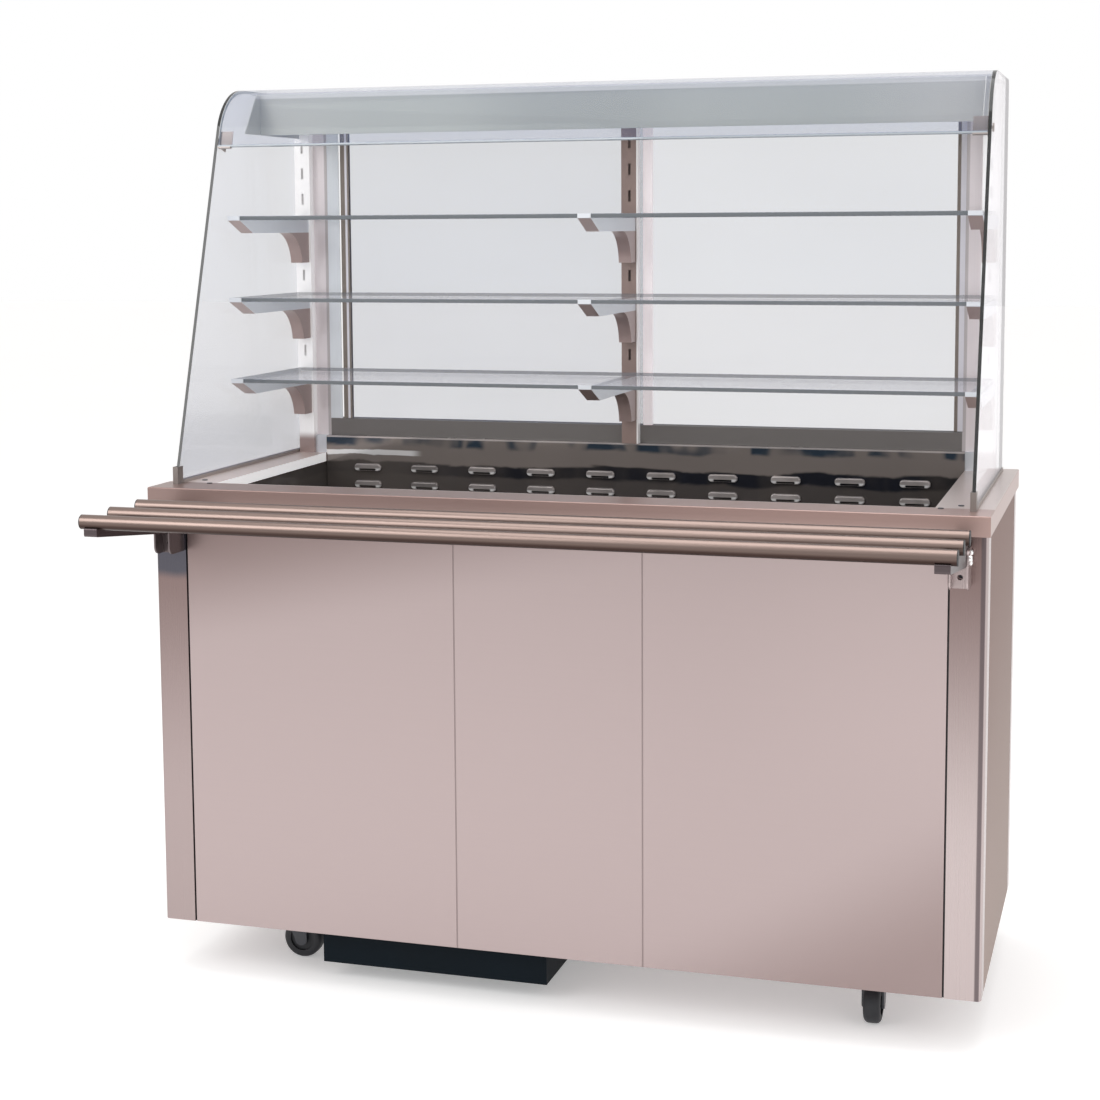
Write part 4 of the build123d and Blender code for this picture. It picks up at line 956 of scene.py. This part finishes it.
class DISPLAYCASE_OT_tray_slide(Operator):
    """Finish the tray slide"""

    bl_idname = "display_case.tray_slide"
    bl_label = "Tray slide"

    def execute(self, context):
        """Brushed tubes with painted light on top and painted shade underneath, arms in painted shade, and
        satin brackets with painted shade on the left one, painted highlights on the ears' outer faces and
        bright nuts.
        """
        steel = context.scene.case_steel
        tube_grain = 0.00006
        finish = Finish("tube_brushed")
        fine = finish.grain(GRAIN_CELLS["x"])
        # Painted light and shade: the tubes lighten where they face up and darken where they face down.
        rise = finish.axes("Normal")[2].between(-0.6, 0.5)
        base = finish.mix(steel.tube_shade, steel.tube_light, rise)
        give(
            finish.surface(
                Metallic=1.0,
                Base_Color=finish.mix(base, dim(steel.tube_shade, 0.8), fine * 0.25),
                Roughness=0.28 + 0.1 * fine,
                Normal=finish.bump(fine, tube_grain),
            ),
            "tray_tubes",
        )
        # Painted shade: the tray arms take a darker copy of the hinge shade tone.
        give(satin_steel("arm_satin", dim(steel.hinge, 0.8), "y", metal=0.9, shine=0.3), "tray_arms")
        ear_low, ear_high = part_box("tray_brackets")
        stud_reach = 0.005
        skin = 0.0005
        nut_radius = 0.005
        nut_height = 0.004
        ear = ear_high.x - stud_reach
        far_ear = ear_low.x + stud_reach
        # Painted highlights on the outer faces of the ears, and painted shade on the left bracket.
        outside = ("x", ear, ear + skin, steel.bright, 1.0)
        mirrored = ("x", far_ear, far_ear - skin, steel.bright, 1.0)
        shaded = ("x", -0.6, -0.65, dim(steel.hinge, 0.6), 0.8)
        give(
            satin_steel("hinge_satin", steel.panel, "z", [shaded, outside, mirrored], gloss=0.2, metal=0.7),
            "tray_brackets",
        )
        centres = []
        for side in (-1, 1):
            for back, down in ((0.012, 0.009), (0.024, 0.024)):
                centres.append((side * ear, ear_high.y - back, ear_high.z - down))
        bright = satin_steel("nut_bright", steel.bright, "x")
        domes("hinge_nuts", centres, nut_radius, nut_height, bright, "cabinet")
        return {"FINISHED"}


class DISPLAYCASE_OT_castors(Operator):
    """Finish the castors and the machine pan"""

    bl_idname = "display_case.castors"
    bl_label = "Castors and pan"

    def execute(self, context):
        """Black wheels, dark plated forks and a painted pan."""
        trim = context.scene.case_trim
        corners = ("front_left", "front_right", "rear_left", "rear_right")
        give(moulded("wheel_nylon", trim.tread), *["castor_wheel_" + corner for corner in corners])
        forks = ["castor_fork_" + corner for corner in corners]
        give(moulded("fork_plated", trim.plated, gloss=0.3), "castor_plates", "fixings", *forks)
        give(moulded("pan_paint", trim.pan, gloss=0.5, shine=0.1), "drop_pan")
        return {"FINISHED"}


class DISPLAYCASE_OT_machine(Operator):
    """Finish the refrigeration pieces and the controls"""

    bl_idname = "display_case.machine"
    bl_label = "Machine and controls"

    def execute(self, context):
        """Painted, copper and plastic pieces inside and behind the cabinet."""
        trim = context.scene.case_trim
        give(moulded("machine_paint", trim.pan, gloss=0.35), "compressor", "condenser_shroud")
        give(satin_steel("coil_fins", trim.anodised, "z", gloss=0.4), "condenser", "evaporator")
        give(
            moulded("black_plastic", trim.plastic),
            "condenser_fan", "evaporator_fan", "controller", "mains_gland", "tray_caps",
        )
        give(satin_steel("copper_drawn", tone(196, 126, 92), "z", gloss=0.3), "pipework")
        give(moulded("foam_skin", tone(226, 214, 176), coarse=90.0, gloss=0.8), "well_insulation")
        give(moulded("green_lens", tone(30, 140, 60), gloss=0.2), "rocker_power")
        give(moulded("red_lens", tone(160, 24, 20), gloss=0.2), "rocker_light")
        low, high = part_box("controller")
        skin = high.y - EDGE_EASE
        middle = (low.z + high.z) / 2
        self.add_window(high.x, skin, middle)
        self.add_keys(low.x, skin, middle)
        self.add_digits(high.x, skin, middle)
        return {"FINISHED"}

    def add_window(self, side, skin, middle):
        """A smoked window behind the digits."""
        margin = 0.010
        wide = 0.042
        half_height = 0.011
        stand = 0.0008
        low = (side - margin - wide, skin, middle - half_height)
        high = (side - margin, skin + stand, middle + half_height)
        smoked = moulded("window_smoke", tone(16, 14, 16), gloss=0.08)
        piece("controller_window", [(low, high)], smoked, "cabinet")

    def add_keys(self, side, skin, middle):
        """Four square keys in two rows."""
        pitch = 0.012
        row_rise = 0.007
        half = 0.0045
        stand = 0.0012
        key_ease = 0.0008
        keys = []
        for row in (-1, 1):
            for column in (1, 2):
                x = side + pitch * column
                z = middle + row_rise * row
                keys.append(((x - half, skin, z - half), (x + half, skin + stand, z + half)))
        piece("controller_keys", keys, moulded("key_grey", tone(150, 150, 154)), "cabinet", key_ease)

    def add_digits(self, side, skin, middle):
        """A glowing reading of two digits with a point between them."""
        tens = -0.038
        point = -0.031
        units = -0.024
        rise = 0.0065
        stem = 0.004
        stand = 0.0009
        half_depth = 0.0002
        digit_ease = 0.0001
        level = (0.0035, 0.0004)
        upright = (0.0004, 0.0028)
        dot = (0.0007, 0.0007)
        strokes = [(point, -rise, dot)]
        for x in (units, tens):
            for z in (0.0, rise, -rise):
                strokes.append((x, z, level))
            for z in (rise / 2, -rise / 2):
                strokes.append((x - stem, z, upright))
        boxes = []
        for x, z, (wide, tall) in strokes:
            centre = Vector((side + x, skin + stand, middle + z))
            reach = Vector((wide, half_depth, tall))
            boxes.append((centre - reach, centre + reach))
        finish = Finish("digit_glow")
        flicker = finish.grain((300.0, 300.0, 300.0), 1.0)
        lit = finish.mix(tone(220, 40, 28), tone(250, 70, 50), flicker)
        glow = finish.surface(Base_Color=lit, Roughness=0.4, Emission_Color=lit, Emission_Strength=0.8)
        piece("controller_digits", boxes, glow, "cabinet", digit_ease)


def area_light(name, place, target, size, power):
    """A soft square light turned to a target."""
    data = bpy.data.lights.new(name, "AREA")
    data.energy = power
    data.size = size
    light = bpy.data.objects.new(name, data)
    light.location = place
    light.rotation_euler = (Vector(target) - Vector(place)).to_track_quat("-Z", "Y").to_euler()
    bpy.context.scene.collection.objects.link(light)


class DISPLAYCASE_OT_stage(Operator):
    """Build the pale studio: floor, sky, lights and camera"""

    bl_idname = "display_case.stage"
    bl_label = "Studio"

    def execute(self, context):
        """Lay the floor, hang the lights and set the camera."""
        scene = context.scene
        self.lay_floor(scene)
        self.light_sky(scene)
        middle = (cad_low + cad_high) / 2
        for name, place, size, power in (
            ("key_softbox", (-2.4, -3.4, 3.2), 2.6, 70.0),
            ("top_softbox", (0.2, -0.4, 3.8), 3.0, 60.0),
            ("fill_softbox", (3.2, -2.4, 2.2), 2.0, 25.0),
        ):
            area_light(name, place, middle, size, power)
        self.set_camera(scene)
        scene.view_settings.view_transform = "Standard"
        scene.cycles.transparent_max_bounces = GLASS_LAYERS
        return {"FINISHED"}

    def lay_floor(self, scene):
        """A wide pale floor that belongs to the studio."""
        mesh = bpy.data.meshes.new("studio_floor")
        sheet = bmesh.new()
        bmesh.ops.create_grid(sheet, x_segments=1, y_segments=1, size=FLOOR_REACH)
        sheet.to_mesh(mesh)
        sheet.free()
        floor = bpy.data.objects.new("studio_floor", mesh)
        scene.collection.objects.link(floor)
        colour = scene.case_stage.floor
        finish = Finish("floor_pale")
        cloud = finish.grain((0.8, 0.8, 0.8), 1.0)
        pale = finish.mix(dim(colour, 0.99), dim(colour, 1.01), cloud)
        mesh.materials.append(
            finish.surface(Base_Color=pale, Roughness=0.7, Emission_Color=pale, Emission_Strength=0.36)
        )

    def light_sky(self, scene):
        """Even light from all round, and plain white where the camera sees past the floor."""
        world = bpy.data.worlds.new("studio_sky")
        world.use_nodes = True
        tree = world.node_tree
        seen = tree.nodes.new("ShaderNodeLightPath")
        white = tree.nodes.new("ShaderNodeBackground")
        white.inputs["Color"].default_value = BACKDROP_COLOUR
        even = tree.nodes["Background"]
        even.inputs["Color"].default_value = SKY_COLOUR
        even.inputs["Strength"].default_value = scene.case_stage.sky
        pick = tree.nodes.new("ShaderNodeMixShader")
        tree.links.new(seen.outputs["Is Camera Ray"], pick.inputs["Fac"])
        tree.links.new(even.outputs[0], pick.inputs[1])
        tree.links.new(white.outputs[0], pick.inputs[2])
        tree.links.new(pick.outputs[0], tree.nodes["World Output"].inputs["Surface"])
        scene.world = world

    def set_camera(self, scene):
        """Stand the camera where the photograph was taken from."""
        stage = scene.case_stage
        data = bpy.data.cameras.new("photo_camera")
        data.lens = stage.lens
        data.sensor_width = SENSOR_WIDTH
        data.shift_y = stage.rise
        camera = bpy.data.objects.new("photo_camera", data)
        turned = Matrix.Rotation(stage.turn, 4, "Z") @ Matrix.Rotation(math.pi / 2 - stage.tilt, 4, "X")
        rolled = turned @ Matrix.Rotation(stage.roll, 4, "Z")
        camera.matrix_world = Matrix.Translation(stage.place) @ rolled
        scene.collection.objects.link(camera)
        scene.camera = camera


class DISPLAYCASE_PT_sidebar(Panel):
    """Lists the case's groups and their settings"""

    bl_idname = "DISPLAYCASE_PT_sidebar"
    bl_label = "Display Case"
    bl_space_type = "VIEW_3D"
    bl_region_type = "UI"
    bl_category = "Display Case"

    def draw(self, context):
        """One button for each operator, then the settings."""
        for operator in OPERATORS:
            self.layout.operator(operator.bl_idname)
        for name in SETTINGS:
            group = getattr(context.scene, name)
            box = self.layout.box()
            for key in group.bl_rna.properties.keys():
                if key not in ("rna_type", "name"):
                    box.prop(group, key)


OPERATORS = (
    DISPLAYCASE_OT_cabinet,
    DISPLAYCASE_OT_counter,
    DISPLAYCASE_OT_well,
    DISPLAYCASE_OT_glass,
    DISPLAYCASE_OT_structure,
    DISPLAYCASE_OT_doors,
    DISPLAYCASE_OT_tray_slide,
    DISPLAYCASE_OT_castors,
    DISPLAYCASE_OT_machine,
    DISPLAYCASE_OT_stage,
)
SETTINGS = {
    "case_steel": CaseSteel,
    "case_glass": CaseGlass,
    "case_trim": CaseTrim,
    "case_stage": CaseStage,
}


def register():
    """Register the classes and hang the settings on the scene."""
    for kind in (*SETTINGS.values(), *OPERATORS, DISPLAYCASE_PT_sidebar):
        bpy.utils.register_class(kind)
    for name, group in SETTINGS.items():
        setattr(bpy.types.Scene, name, PointerProperty(type=group))


def unregister():
    """Take the settings and the classes away again."""
    for name in SETTINGS:
        delattr(bpy.types.Scene, name)
    for kind in reversed((*SETTINGS.values(), *OPERATORS, DISPLAYCASE_PT_sidebar)):
        bpy.utils.unregister_class(kind)


def main():
    """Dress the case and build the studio."""
    register()
    bpy.ops.display_case.cabinet()
    bpy.ops.display_case.counter()
    bpy.ops.display_case.well()
    bpy.ops.display_case.glass()
    bpy.ops.display_case.structure()
    bpy.ops.display_case.doors()
    bpy.ops.display_case.tray_slide()
    bpy.ops.display_case.castors()
    bpy.ops.display_case.machine()
    bpy.ops.display_case.stage()


if __name__ == "__main__":
    main()
